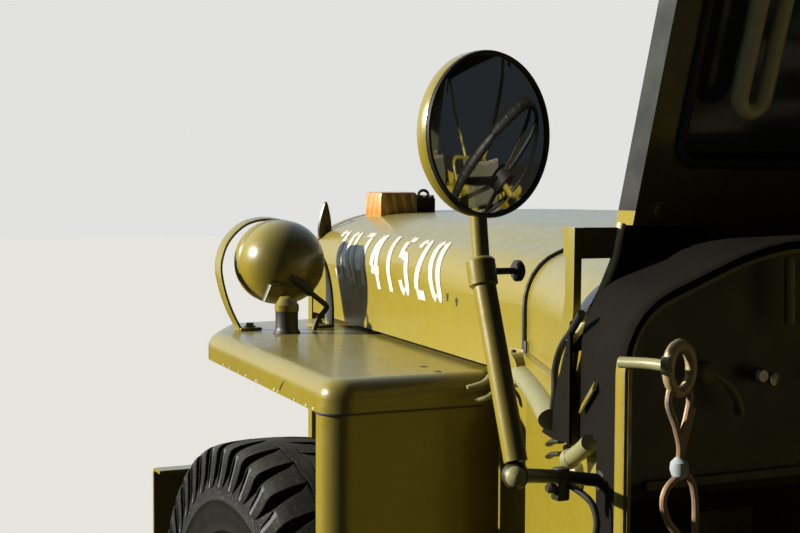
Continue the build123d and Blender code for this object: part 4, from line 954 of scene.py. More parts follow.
def make_blackout_lamp():
    centre = at(200.0, 547.5, 952.5)
    profile = [(0, -64.5)]
    for step in range(1, 15):
        angle = math.radians(180 - 5 - step * 6.2)
        profile.append((64.5 * math.sin(angle), 64.5 * math.cos(angle)))
    profile += [(64.5, 4), (64, 16), (65.5, 18), (65.5, 23), (63, 26), (64, 30), (64, 40), (61, 43),
                (58, 43), (57, 36), (0, 34)]
    painted("lamp_shell", [lathe(profile, centre, AHEAD, 56)], sharp=40)
    piece("lamp_lens", [lathe([(55, 36), (50, 40), (30, 42.5), (0, 43.5)], centre, AHEAD, 40)], "lens")
    rows = []
    for step in range(13):
        angle = math.radians(-60 + step * 10)
        way = Vector((0, math.sin(angle), math.cos(angle)))
        section = ((35, 57), (43, 57), (43, 55), (35, 55))
        rows.append([centre + way * (radius * MM) + AHEAD * (reach * MM) for reach, radius in section])
    piece("lamp_visor", [loft(rows, ends=False)], "paint_in_painted_shade")
    foot = at(129, 567.5, 851.3)
    post = [(20.5, 0), (19.5, 2), (17.4, 5), (16.8, 9), (16.8, 30), (17.4, 33), (0, 33)]
    neck = [(16, 32), (18, 33), (18, 42), (16, 44), (13, 50), (8, 54), (0, 55)]
    boss = lathe([(9, 46), (9, 84), (0, 84)], foot, (0.70, -0.20, 1), 16)
    piece("lamp_post", [lathe(post, foot, UPWARD, 32)], "rubber_dark")
    painted("lamp_neck", [lathe(neck, foot, UPWARD, 28), boss])
    clip = line_at((147, 597, 898), (148, 587, 922), (148, 570, 923), (148, 540, 924), (148, 528, 921),
                   (147, 514, 898))
    # The clip takes the near-black copy of the paint: painted shade.
    painted("lamp_clip", [strip(clip, 9, 2, across=(1, 0, 0.35))], "paint_in_painted_shade")
    lead = line_at((143, 553, 932), (141, 535, 917), (140, 512, 899), (141, 499, 888), (144, 501, 880),
                   (146, 511, 867), (146, 517, 852))
    piece("lamp_lead", [round_bar(lead, 4.0)], "rubber_dark")
    sleeve = line_at((144, 556, 935), (142, 538, 920), (141, 524, 909))
    piece("lamp_sleeve", [round_bar(sleeve, 7.0)], "rubber_dark")
    lean = math.radians(28)
    up = Vector((math.sin(lean), 0, math.cos(lean)))
    outline = ((619, 0), (630, 35), (636, 75), (634, 112), (616, 150), (583, 179), (545, 188), (507, 179),
               (476, 150), (463, 112), (461, 75), (465, 35), (472, 0))
    line = [at(193, 0, 851.5) + Vector((0, y * MM, 0)) + up * (v * MM) for y, v in outline]
    twist = math.radians(6)
    parts = [strip(smooth_path(line, 6), 24, 4, across=(math.cos(twist), 0, math.sin(twist)))]
    for y, inward in ((622, -1), (469, 1)):
        parts.append(box_at(1, (178, 210), (y, y + inward * 34), (851.4, 856.0), 1.5))
        parts += bolts([at(194, y + inward * 20, 856)], UPWARD, 6.5, 5)
    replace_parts(painted("lamp_guard", parts, sharp=40), "blackout_lamp")


# Mirrors

def make_mirror(side, word):
    head = at(-885, 800 * side, 1104)
    turn = math.radians(14 * side)
    back = Vector((-math.cos(turn), -math.sin(turn), 0))
    shell = [(0, -19), (30, -18), (50, -14.5), (58, -10), (61.4, -5), (61.9, 1), (61.5, 4), (59, 5)]
    painted("mirror_shell_" + word, [lathe(shell, head, back, 72)], sharp=45)
    rim = [(58.4, 4.6), (58.6, 6.6), (60, 7.6), (61.3, 7.2), (61.9, 5.4), (60.5, 4.0)]
    rim_vertices, rim_faces = lathe(rim, head, back, 72)
    piece("mirror_rim_" + word, [(rim_vertices, rim_faces[:-2])], "rubber_dark")
    glass = [(59, 5.2), (52, 6.2), (41, 7.2), (28, 8.0), (14, 8.5), (0, 8.7)]
    piece("mirror_glass_" + word, [lathe(glass, head, back, 72)], "mirror", sharp=60)
    collar = at(-882, 800 * side, 1002)
    ball = at(-934, 800 * side, 858)
    top = head + Vector((0.010, 0, -0.055))
    stem = round_bar([top, collar], 6.5, sides=20)
    lower = round_bar([collar, ball + Vector((0, 0, 0.010))], 8.7, sides=20)
    ring = [(9, -12), (11, -10), (11, 8), (9.5, 10), (6.5, 11)]
    painted("mirror_stem_" + word, [stem, lower, lathe(ring, collar, top - ball, 28)])
    inward = Vector((0, -side, 0.0))
    screw = lathe([(2.6, 8), (2.6, 28), (3.4, 29), (0, 29)], collar, inward, 14)
    knob = [(0, -3), (6.5, -3), (8.2, -1.5), (8.2, 1.5), (6.5, 3), (0, 3)]
    piece("mirror_screw_" + word, [screw, lathe(knob, collar + inward * 0.031, inward, 24)], "rubber_dark")
    # The ball's pale cap is a painted highlight.
    cap = lathe([(6, 7), (7.5, 9), (7, 13), (5, 15), (0, 16)], ball, (-0.85, side * 0.5, 0.1), 24)
    piece("mirror_ball_" + word, [cap], "paint_in_painted_light")
    joint = [(0, -10), (5, -9), (9, -5), (10.5, 0), (9, 5), (5, 9), (0, 10)]
    joint = lathe(joint, ball, (0, side, 0.15), 28)
    arm = [ball, *line_at((-836, 700, 830), (-834, 655, 822), side=side)]
    painted("mirror_arm_" + word, [joint, round_bar(arm, 5.5, smooth=False, sides=16)], "paint_in_painted_shade")
    clamp = box_at(side, (-844, -832), (695, 707), (811, 838), 2)
    nub = lathe([(4, 0), (4.5, 6), (3, 8), (0, 8)], at(-838, 706 * side, 822), (0, side, 0), 14)
    painted("mirror_clamp_" + word, [clamp, nub], "paint_in_painted_shade")
    plate = lathe([(9, 0), (9, 4), (7, 6), (0, 6)], at(-834, 656 * side, 822), (0.1, side, 0), 24)
    last = piece("mirror_plate_" + word, [plate], "rubber_dark")
    if side > 0:
        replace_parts(last, "mirrors")


# Hood, fenders and cowl

REST_SPAN = (299.0, 363.0)
REST_WOOD = (266.0, 336.0)
REST_END = (232.0, 266.0)
REST_FLOOR = 1014.0
REST_TOP = 1061.0


def make_hood_fittings():
    """Two rests of striped wood with ribbed ends and wire loops, and the holes in the hood's side. The wood
    and its stripes are painted brighter than they are, as painted light, and the ends and loops are
    near-black as painted shade.
    """
    woods = []
    ends = []
    for side in BOTH:
        woods.append(box_at(side, REST_SPAN, REST_WOOD, (REST_FLOOR, REST_TOP), 6))
        span = (REST_SPAN[0] + 1.5, REST_SPAN[1] - 1.5)
        ends.append(box_at(side, span, REST_END, (REST_FLOOR + 4, REST_TOP - 9), 3))
        span = (REST_SPAN[0] + 0.5, REST_SPAN[1] - 0.5)
        for number in range(3):
            rib = REST_END[0] + 6 + number * 11
            ends.append(box_at(side, span, (rib - 2.6, rib + 2.6), (REST_FLOOR + 3, REST_TOP - 5), 1.5))
        middle = side * (REST_END[0] + 15)
        outline = ((-9, -11), (-8, -1), (0, 3), (8, -1), (9, -11))
        loop = [at(318, middle + y, REST_TOP + z) for y, z in outline]
        ends.append(round_bar(loop, 2.6, sides=8))
    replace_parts(piece("hood_rests", woods, "wood", "hood", sharp=30), "hood_blocks")
    piece("rest_ends", ends, "webbing_painted_shade", "hood")
    for side, word in SIDES:
        for number in range(4):
            start = side * REST_WOOD[0] + (number * 17.5 if side > 0 else -70 + number * 17.5)

            def place(u, v, start=start):
                return at(REST_SPAN[0] - 0.4, start + u, REST_TOP - 44 + v), BEHIND

            painted_strokes("rest_stripe_" + word + str(number), [[(4, 3), (13, 40)]], 7, place, "stripe")
    holes = []
    for ahead_mm, climb in ((-239, 10), (-270, 6.5)):
        for side in BOTH:
            spot, normal = side_station(ahead_mm, climb, side)
            holes.append(lathe([(3.6, 0.5), (0, 0.6)], spot, normal, 14))
            drip = spot + Vector((0, 0, -0.002)) + normal * 0.0006
            holes.append(strip([drip, drip + Vector((0, 0, -0.005))], 2.6, 0.5, across=AHEAD))
    piece("hood_holes", holes, "rubber_dark", "hood")


def make_latch(side, word):
    """Spring catch of the hood on the cowl's side."""
    y = 517.5
    base = [box_at(side, (-478, -446), (y, y + 4), (852, 888), 2)]
    base += bolts([at(-468, side * (y + 4), 861)], (0, side, 0), 4, 3)
    dark = [box_at(side, (-490, -484), (y + 6, y + 9), (855, 899), 1)]
    dark.append(round_bar(line_at((-458, y + 5.5, 874), (-458, y + 5.5, 886), side=side), 2.5))
    piece("catch_slots_" + word, dark, "rubber_dark")
    painted("catch_" + word, base)


def make_hold_down(side, word):
    """Curved tube of the windshield's lower corner, with a cap on its front end."""
    line = smooth_path(line_at((-470, 528, 866), (-520, 546, 865), (-580, 569, 860), (-635, 591, 854),
                               (-680, 609, 847), side=side))
    tube = strip(line, 30, 22, sides=18, taper=lambda t: 0.85 + 0.15 * t)
    cap = lathe([(13, -3), (17, 0), (17, 8), (13, 10), (0, 10)], line[0], line[0] - line[1], 24)
    # The tube takes the pale copy of the paint: painted sunlight.
    painted("hold_down_" + word, [tube, cap], "paint_in_painted_light", sharp=50)


FENDER_SIDE = 716.4
FENDER_REAR = -380.0
FENDER_CORNER = 32.0
FENDER_TAPER = 45.0 / 570.0
LIP_LOW = 812.0
CHIP_UP = 813.3
LIP_SCRATCH = (
    # ahead, inward from the lip's face, up
    (-196.0, 0.0, 817.0), (-208.0, 0.0, 826.0), (-221.0, 1.1, 832.5), (-240.0, 2.2, 835.5),
)
LIP_CHIPS = (
    # ahead, length
    (93.0, 7.0), (56.0, 5.0), (6.0, 4.0), (-31.0, 8.0), (-82.0, 9.0), (-94.0, 5.0), (-167.0, 8.0),
    (-185.0, 5.0), (-257.0, 6.0), (-301.0, 8.0), (-328.0, 9.0),
)


def fender_face(ahead_mm):
    """Distance of the fender's outer face from the middle of the car."""
    return FENDER_SIDE - FENDER_TAPER * (ahead_mm - FENDER_REAR)


def make_fender_fittings():
    """Scratch, chips, drilled holes, the skirt's seam and the prongs behind the skirt."""
    scars = []
    chips = []
    holes = []
    seams = []
    prongs = []
    for side in BOTH:
        scratch = [at(x, side * (fender_face(x) - inward), z) for x, inward, z in LIP_SCRATCH]
        scars.append(strip(smooth_path(scratch, 6), 1.6, 0.8, across=AHEAD, sides=8))
        for ahead_mm, length in LIP_CHIPS:
            start = at(ahead_mm, side * fender_face(ahead_mm), CHIP_UP)
            line = [start, start + Vector((-length, side * length * FENDER_TAPER, 1.2)) * MM]
            chips.append(strip(line, 3.4, 0.5, across=UPWARD, sides=8))
        for ahead_mm, y in ((-305, 558), (-353, 563)):
            holes.append(lathe([(4.5, 0.4), (0, 0.5)], at(ahead_mm, side * y, 851.1), UPWARD, 16))
        seam = [at(FENDER_REAR - 0.4, side * 518, LIP_LOW)]
        reach = FENDER_CORNER + 0.4
        for step in range(10):
            angle = math.radians(step * 10)
            x = FENDER_REAR + FENDER_CORNER - reach * math.cos(angle)
            y = FENDER_SIDE - 0.4 - FENDER_CORNER + reach * math.sin(angle)
            seam.append(at(x, side * y, LIP_LOW))
        seams.append(strip(seam, 2.6, 1.2, across=UPWARD))
        for y, z, reach in ((530, 842, 34), (523, 825, 26)):
            tip = (-384 - reach * 0.5, y + reach * 0.6, z - 4)
            line = line_at((-384, y - 20, z + 4), (-402, y, z), tip, side=side)
            prongs.append(strip(smooth_path(line, 6), 11, 7, sides=12, taper=lambda t: 1.0 - 0.4 * t))
    piece("fender_scratch", scars, "rubber_dark")
    piece("lip_chips", chips, "chipped")
    piece("fender_holes", holes, "rubber_dark")
    piece("skirt_seam", seams, "rubber_dark")
    painted("fender_prongs", prongs, "paint_in_painted_light")


def make_body_trim():
    """Seal behind the hood, moulding round the cowl's rear opening, and the ear on the hood's corner."""
    for ahead_mm, width, thick, lift, low, finish, name in (
        (-473.3, 5.0, 7.0, 0.4, 858, "rubber_dark", "hood_seal"),
        (-892.0, 15.0, 8.0, 2.6, 505, "paint", "cowl_moulding"),
    ):
        line = []
        for side in BOTH:
            y = side * (wall_width(ahead_mm) + lift)
            run = [at(ahead_mm, y, low), at(ahead_mm, y, 905)] + arch_run(ahead_mm, side, 0.0, lift)
            line += run if side > 0 else run[::-1]
        piece(name, [strip(line, width, thick, across=AHEAD, corner=0.5)], finish)
    seals = []
    beads = []
    for side in BOTH:
        line = [at(ahead_mm, side * (wall_width(ahead_mm) - 13.0), 861.0) for ahead_mm in (120.0, -460.0)]
        seals.append(strip(line, 20, 3, across=UPWARD, sides=12))
        beads.append(strip(arch_run(-892.0, side, 8.0, 3.2), 17, 9.5, across=AHEAD, corner=0.5))
    # Black strips under the hood's lower edges close the gap to the fender and stand in for the shadow in
    # that gap: partly painted shadow.
    piece("hood_gap_seals_and_shadow", seals, "pad")
    piece("cowl_bead", beads, "pad")
    rows = []
    for face in (0, 1):
        row = []
        for step in range(24):
            angle = 2 * math.pi * step / 24
            u = math.sin(angle) * (11 - 6.0 * math.cos(angle))
            v = math.cos(angle) * 33
            row.append(at(372 + face * 4 - v * 0.10, 404 - u * 0.9 + face * 1.5, 1011 + v))
        rows.append(row)
    painted("hood_ear", [loft(rows)], "paint_in_painted_shade", "hood", sharp=50)
    arm = smooth_path(line_at((376, 402, 1000), (374, 388, 990), (366, 372, 996), (350, 352, 1004)), 6)
    foot = box_at(1, (340, 372), (340, 362), (1003, 1012), 2)
    piece("ear_bracket", [strip(arm, 16, 5, across=AHEAD), foot], "rubber_dark", "hood")


# Windshield

LEAN = math.radians(17.3)
FRONT_WAY = Vector((math.cos(LEAN), 0, math.sin(LEAN)))
ARM_Y = 478.0


def on_glass(y, climb, off=0.0):
    """Place on the leaning windshield: a distance up from its foot, and off it to the front, in mm."""
    x = -724.0 - climb * math.sin(LEAN) + off * math.cos(LEAN)
    return at(x, y, 1020.0 + climb * math.cos(LEAN) + off * math.sin(LEAN))


def make_windshield():
    seals = []
    slotted = []
    brackets = []
    r = 18.0
    inner, outer, low, high = 15.0 + r, 531.0 - r, 76.0 + r, 484.0 - r
    corners = ((outer, high, 0), (inner, high, 90), (inner, low, 180), (outer, low, 270))
    for side in BOTH:
        for off in (13.6, -13.6):
            loop = []
            for cy, cz, start in corners:
                for step in range(5):
                    angle = math.radians(start + step * 22.5)
                    y = side * (cy + r * math.cos(angle))
                    loop.append(on_glass(y, cz + r * math.sin(angle), off))
            seals.append(round_bar(loop + loop[:2], 5.0, sides=8, smooth=False))
        centre = ARM_Y * side
        loop = [on_glass(centre - 13.5, climb, -33) for climb in (505, 300, 144)]
        for step in range(1, 8):
            angle = math.radians(180 + step * 22.5)
            loop.append(on_glass(centre + 13.5 * math.cos(angle), 144 + 13.5 * math.sin(angle), -33))
        loop += [on_glass(centre + 13.5, climb, -33) for climb in (144, 300, 505)]
        slotted.append(round_bar(loop, 8.0, smooth=False))
        slotted.append(lathe([(12, -5), (14, 0), (14, 4), (10, 7), (0, 7)], on_glass(centre, 440, -36),
                             -FRONT_WAY, 20))
        foot = on_glass(centre, 505, -31)
        low_corner = foot + Vector((-0.004, -0.026, -0.022))
        high_corner = foot + Vector((0.024, 0.026, 0.014))
        brackets.append(box_shape(low_corner, high_corner, 2))
    piece("glass_seals", seals, "rubber_dark")
    # The slotted arms are pale yellow as painted sunlight.
    painted("slotted_arms", slotted, "painted_sunlight")
    painted("arm_brackets", brackets)
    wipers = []
    for y in (-270, 290):
        top = on_glass(y, 505, 17)
        wipers.append(lathe([(13, -4), (13, 10), (9, 14), (0, 14)], top, FRONT_WAY, 20))
        tip = on_glass(y - 40, 250, 9)
        arm = [top + FRONT_WAY * 0.010, (top + tip) / 2 + FRONT_WAY * 0.012, tip + FRONT_WAY * 0.006]
        wipers.append(strip(arm, 6, 3))
        blade = [on_glass(y - 48, 130, 7), on_glass(y - 40, 250, 9), on_glass(y - 32, 370, 7)]
        wipers.append(strip(blade, 7, 8))
    piece("wipers", wipers, "rubber_dark")
    heads = []
    for y in (-540, -180, 180, 540):
        heads += bolts([on_glass(y, 30, 13)], FRONT_WAY, 7, 4)
        heads += bolts([on_glass(y, 508, 13)], FRONT_WAY, 6, 3)
        heads += bolts([on_glass(y, 30, -13)], -FRONT_WAY, 7, 4)
    painted("windshield_bolts", heads)


def make_side_hardware(side, word):
    """What lies between the windshield's foot and the mirror arm on a cowl side."""
    hose = line_at((-790, 651, 958), (-748, 634, 938), (-713, 622, 920), (-690, 614, 897), (-686, 612, 872),
                   (-672, 606, 850), (-640, 592, 830), side=side)
    piece("pillar_hose_" + word, [round_bar(hose, 3.4)], "rubber_dark")
    tube = line_at((-766, 645, 828), (-784, 647, 837), (-806, 652, 849), side=side)
    cap = lathe([(8, -3), (9, 0), (9, 4), (7, 6), (0, 6)], tube[0], tube[0] - tube[1], 20)
    painted("pillar_grip_" + word, [round_bar(tube, 7.5, smooth=False, sides=20), cap], "paint_in_painted_light")
    knob = [(7, 0), (12, 3), (13, 8), (11, 14), (5, 17), (0, 17)]
    stalk = line_at((-742, 606, 806), (-742, 618, 806), side=side)
    knob = lathe(knob, at(-742, side * 616, 806), (0, side, 0), 22)
    painted("pillar_knob_" + word, [knob, round_bar(stalk, 6)], "paint_in_painted_light")
    lead = line_at((-838, 698, 825), (-848, 692, 821), (-861, 686, 812), (-866, 684, 798), (-864, 684, 786),
                   side=side)
    piece("pillar_lead_" + word, [round_bar(lead, 2.8)], "rubber_dark")
    prongs = []
    for z in (812, 824):
        line = line_at((-700, 612, z + 6), (-680, 610, z + 2), (-662, 602, z - 4), side=side)
        prongs.append(strip(line, 9, 5, sides=10))
    painted("pillar_catch_" + word, prongs, "paint_in_painted_shade")


def cowl_wall(ahead_mm, climb, lift, side):
    """Place at a distance up along the cowl from 920 mm, below it too, lifted off the sheet."""
    if climb < 0:
        spot = at(ahead_mm, side * wall_width(ahead_mm), SIDE_START + climb)
        normal = Vector((COWL_FLARE, side, 0)).normalized()
    else:
        spot, normal = side_station(ahead_mm, climb, side)
    return spot + normal * (lift * MM)


PAD_COLUMNS = (
    # ahead, height of the lower edge
    (-756, 838), (-775, 842), (-800, 848), (-817, 853), (-819, 640), (-840, 640), (-862, 640), (-884, 640),
)
BOOT_OUTLINE = (
    # ahead, up
    (-752, 948), (-730, 915), (-704, 890), (-680, 863), (-663, 845), (-630, 826), (-682, 829), (-752, 838),
)


def make_cowl_pads():
    """Black rubber pad over the cowl behind the windshield, and the boot over each leg's lower bend."""
    pads = []
    boots = []
    straps = []
    last = len(PAD_COLUMNS) - 1
    for side in BOTH:
        vertices = []
        for ahead_mm, low in PAD_COLUMNS:
            climbs = [(low - SIDE_START) * (1 - share) for share in (0.0, 0.25, 0.5, 0.75, 1.0)]
            climbs += [step * 9.0 for step in range(1, 22)] + [200 + step * 82.0 for step in range(1, 7)]
            for climb in climbs:
                vertices += [cowl_wall(ahead_mm, climb, lift, side) for lift in (4.5, 0.4)]
        rows = len(climbs)
        faces = []
        for i in range(last + 1):
            for j in range(rows - 1):
                a = (i * rows + j) * 2
                b = a + rows * 2
                if i < last:
                    faces += [(a, a + 2, b + 2, b), (a + 1, b + 1, b + 3, a + 3)]
                if i in (0, last):
                    faces.append((a, a + 1, a + 3, a + 2))
                if i < last and j == 0:
                    faces.append((a, b, b + 1, a + 1))
        pads.append((vertices, faces))
        rings = []
        for lift in (12.5, 15.5):
            rings.append([at(x, side * (wall_width(x) + lift), z) for x, z in BOOT_OUTLINE])
        boots.append(loft(rings))
        strap = [at(x, side * (wall_width(x) + 8), z) for x, z in ((-772, 872), (-796, 886), (-820, 900))]
        straps.append(strip(strap, 9, 3, across=(0.5, 0, -0.8)))
    piece("cowl_pad", pads, "pad")
    piece("leg_boots", boots, "pad")
    painted("pad_straps", straps)


APRON_AHEAD = -742.0
APRON_EDGE = (
    # left, up
    (635.8, 915.5), (626.5, 925.2), (612.3, 940.9), (602.8, 954.9), (593.3, 970.9), (586.2, 985.1),
    (579.1, 1001.3), (575.7, 1017.6), (572.2, 1032.0), (530.0, 1031.0), (480.0, 1030.0),
)


def make_apron():
    """Black plate with a lip, between the cowl's shoulder and the windshield's foot. The lip is pale yellow
    as painted sunlight on its edge.
    """
    plates = []
    lips = []
    deep = AHEAD * 0.004
    for side in BOTH:
        arch = [side_station(APRON_AHEAD, step * 3.0, side)[0] for step in range(120)]
        rows = []
        for y, z in APRON_EDGE:
            outer = at(APRON_AHEAD, side * y, z)
            inner = min(arch, key=lambda spot: (spot - outer).length)
            rows.append([outer, outer + deep, inner + deep, inner])
        plates.append(loft(rows))
        edge = [at(APRON_AHEAD + 3, side * (y + 3.0), z + 1.5) for y, z in APRON_EDGE[1:9]]
        lips.append(round_bar(edge, 4.0, sides=12))
    piece("apron", plates, "pad")
    # The lip is pale yellow as painted sunlight.
    painted("apron_lip", lips, "painted_sunlight")


RING = (-934.0, 656.1, 927.7)
WIRE_LINES = (
    # left, up
    ((664.6, 912.3), (666.1, 900.4), (659.5, 884.4), (655.0, 868.5), (655.2, 856.3)),
    ((643.2, 897.2), (646.8, 885.2), (650.8, 871.6), (655.2, 856.3)),
    ((655.0, 845.9), (666.4, 836.5), (669.8, 824.6), (664.9, 810.3), (654.1, 798.7)),
    ((652.9, 847.4), (644.3, 841.5), (639.7, 825.3), (639.2, 799.2)),
    ((639.2, 799.2), (644.0, 792.5), (654.1, 798.7)),
    ((655.0, 868.5), (646.5, 900.0), (648.0, 914.0)),
)
GAUGES = (
    # left, up, radius
    (0, 935, 48), (-95, 955, 26), (95, 955, 26), (-95, 890, 26), (95, 890, 26),
)


def make_dash_fittings():
    """Ring with its wire, the switch, the key and the gauges."""
    loop = []
    for step in range(33):
        angle = 2 * math.pi * step / 32
        loop.append(at(*RING) + Vector((0, 11 * math.sin(angle), -18 * math.cos(angle))) * MM)
    piece("ring", [strip(loop, 10, 10, sides=14, taper=lambda t: 1.0 - 0.12 * abs(2 * t - 1))], "brass")
    hook = line_at((-898, 686, 930), (-920, 676, 931), (-936, 672, 931))
    head = lathe([(7, -2), (7, 4), (4, 6), (0, 6)], hook[-1], (-0.7, -0.7, 0), 16)
    painted("ring_hook", [round_bar(hook, 4.5), head], "paint_in_painted_light")
    wires = [round_bar([at(RING[0], y, z) for y, z in line], 2.9, sides=10) for line in WIRE_LINES]
    piece("ring_wire", wires, "wire")
    bead = [(2, -9), (6.5, -5), (7.5, 0), (6.5, 5), (2, 9)]
    piece("wire_bead", [lathe(bead, at(RING[0], 655.1, 851.1), (0, 0.15, 1), 18)], "bead")
    base = lathe([(9, -4), (9, 5), (7, 8), (5, 9), (0, 15)], at(-862, 575, 912), BEHIND, 24)
    lever = line_at((-872, 574.9, 912.1), (-874, 563.1, 903.9), (-875, 553.4, 892.0), (-876, 549.6, 876.6))
    lever = strip(smooth_path(lever, 6), 13, 7, sides=12, taper=lambda t: 0.7 + 0.3 * t)
    piece("dash_switch", [base, lever], "paint_in_painted_light")
    key = [lathe([(7, -4), (7, 4), (5, 6), (0, 6)], at(-866, 521.5, 906.9), BEHIND, 20)]
    key.append(lathe([(4, -2), (5.5, 2), (5.5, 6), (0, 8)], at(-866, 509.3, 903.7), BEHIND, 14))
    piece("dash_key", key, "bright")
    rims = []
    faces = []
    ticks = []
    for y, z, radius in GAUGES:
        spot = at(-862.2, y, z)
        rims.append(ring_shape(radius - 4, radius + 1, 5, spot, BEHIND))
        faces.append(lathe([(radius - 4, 0), (radius - 4, 1), (0, 1)], spot, BEHIND, 36))
        for step in range(11):
            angle = math.radians(-120 + step * 24)
            tick = []
            for reach in (radius * 0.62, radius * 0.80):
                tick.append(at(-863.6, y - math.sin(angle) * reach, z + math.cos(angle) * reach))
            ticks.append(strip(tick, radius * 0.04, 0.4, across=(0, 1, 0)))
        needle = line_at((-863.8, y, z), (-863.8, y - radius * 0.45, z + radius * 0.45))
        ticks.append(strip(needle, radius * 0.05, 0.5))
    piece("gauge_rings", rims, "paint_in_painted_shade")
    piece("gauge_faces", faces, "dial")
    piece("gauge_marks", ticks, "white")
    piece("dash_rod", [round_bar(line_at((-872, 495.9, 1006.9), (-872, 494.5, 950.2)), 4.5)], "paint_in_painted_light")


# Front, rear and side fittings

def make_front_fittings():
    """Rims and lenses of all lamps, bolts of grille and bumper, and the radiator's fins."""
    rims = []
    lenses = []
    small = []
    tails = []
    heads = []
    for side in BOTH:
        spot = at(406, side * 302, 800)
        rims.append(ring_shape(80, 91, 10, spot, AHEAD, 48))
        lenses.append(lathe([(81, 4), (72, 11), (50, 17), (25, 20), (0, 21)], spot, AHEAD, 48))
        marker = at(429.5, side * 372, 905)
        rims.append(ring_shape(22, 29, 6, marker, AHEAD, 32))
        small.append(lathe([(22, 0), (18, 4), (0, 6)], marker, AHEAD, 28))
        tail = at(-2620.5, side * 610, 800)
        rims.append(ring_shape(30, 41, 6, tail, BEHIND, 36))
        tails.append(lathe([(30, 0), (26, 5), (0, 8)], tail, BEHIND, 32))
        heads += bolts([at(405.8, side * 395, z) for z in (650, 720, 880, 940)], AHEAD, 6, 3)
        heads += bolts([at(527, side * y, z) for y in (330, 420, 600) for z in (475, 545)], BEHIND, 9, 6)
    painted("lamp_rims", rims)
    piece("headlamp_lenses", lenses, "lens")
    piece("marker_lenses", small, "lens")
    piece("tail_lenses", tails, "red")
    painted("front_bolts", heads)
    fins = []
    for number in range(9):
        y = (number - 4) * 43.0
        for z in range(650, 940, 14):
            fins.append(box_at(1, (331, 335), (y - 11, y + 11), (z, z + 3), 0.5))
    piece("radiator_fins", fins, "rubber_dark")


def make_rear_fittings():
    """Bolts of the rear, the spare wheel's clamp and the can's ribs, cap and strap."""
    rear = -2592.3
    spare_y = -215
    heads = []
    for side in BOTH:
        heads += bolts([at(rear, side * y, 540) for y in (360, 480, 560, 640)], BEHIND, 7, 4)
        heads += bolts([at(rear, side * 660, z) for z in (600, 680, 860)], BEHIND, 6, 3)
    spots = [at(rear - 8, spare_y + dy, 818 + dz) for dy in (-80, 80) for dz in (-100, 40)]
    painted("rear_bolts", heads + bolts(spots, BEHIND, 8, 5))
    clamp = [(46, 0), (46, 8), (26, 12), (12, 14), (12, 30), (0, 30)]
    clamp = lathe(clamp, at(-2720, spare_y, 818), BEHIND, 32)
    handle = line_at((-2742, spare_y, 865), (-2746, spare_y, 818), (-2742, spare_y, 771))
    piece("spare_clamp", [clamp, round_bar(handle, 7, smooth=False)], "paint_in_painted_shade")
    ribs = []
    for u in (-1, 1):
        rib = line_at((-2759.5, 335 - u * 110, 650), (-2759.5, 335 + u * 110, 870))
        ribs.append(strip(rib, 22, 7, across=(0, 1, -u), corner=0.5))
    painted("can_ribs", ribs)
    cap = lathe([(26, -6), (26, 8), (20, 12), (0, 12)], at(-2686, 222, 958), (0, -0.2, 1), 28)
    bar = round_bar(line_at((-2686, 190, 962), (-2686, 222, 974), (-2686, 250, 966)), 5)
    painted("can_cap", [cap, bar])
    strap = line_at((-2614, 335, 958), (-2640, 335, 963), (-2730, 335, 963), (-2762, 335, 950),
                    (-2766, 335, 800), (-2767, 335, 640))
    piece("can_strap", [strip(smooth_path(strap), 26, 3, across=(0, 1, 0))], "webbing")
    piece("can_buckle", [box_at(1, (-2776, -2764), (315, 355), (800, 840), 3)], "steel")


def make_side_fittings():
    """Grips, bolts and lashing hooks on both sides of the tub, and the filler's cap on the left."""
    grips = []
    heads = []
    hooks = []
    for side in BOTH:
        outward = (0, side, 0)
        for x in (-1620, -2480):
            corners = line_at((x, 695, 860), (x, 725, 860), (x - 120, 725, 860), (x - 120, 695, 860),
                              side=side)
            bent = corners[:1]
            for first, second in zip(corners, corners[1:]):
                bent += [(first + second) / 2, second]
            grips.append(round_bar(bent, 7, per_span=5))
            for foot in (corners[0], corners[-1]):
                grips.append(lathe([(18, 0), (18, 3), (12, 5), (0, 5)], foot, outward, 24))
        places = [(-1560 - number * 120, 520) for number in range(9)]
        places = [(x, 885 if -2400 < x < -1640 else z) for x, z in places]
        places += [(-960 - number * 110, 560) for number in range(5)]
        heads += bolts([at(x, side * 695, z) for x, z in places], outward, 6, 3)
        for x in (-1700, -1980, -2260, -2520):
            loop = line_at((x - 16, 696, 893), (x - 14, 708, 880), (x + 14, 708, 880), (x + 16, 696, 893),
                           side=side)
            hooks.append(round_bar(loop, 3.5, sides=10))
        for x, z in ((-1430, 600), (-960, 655)):
            hooks.append(ring_shape(12, 18, 3, at(x, side * 695, z), outward, 24))
    painted("side_grips", grips)
    painted("side_bolts", heads)
    painted("lashing_hooks", hooks)
    cap = lathe([(36, 0), (36, 10), (30, 16), (12, 18), (0, 18)], at(-1480, 695, 700), (0, 1, 0), 36)
    painted("filler_caps", [cap, box_at(1, (-1505, -1455), (711, 719), (694, 706), 3)])


# Steering wheel

COLUMN = math.radians(37.0)
STEERING_HUB = at(-1175.0, 295.0, 1026.9)


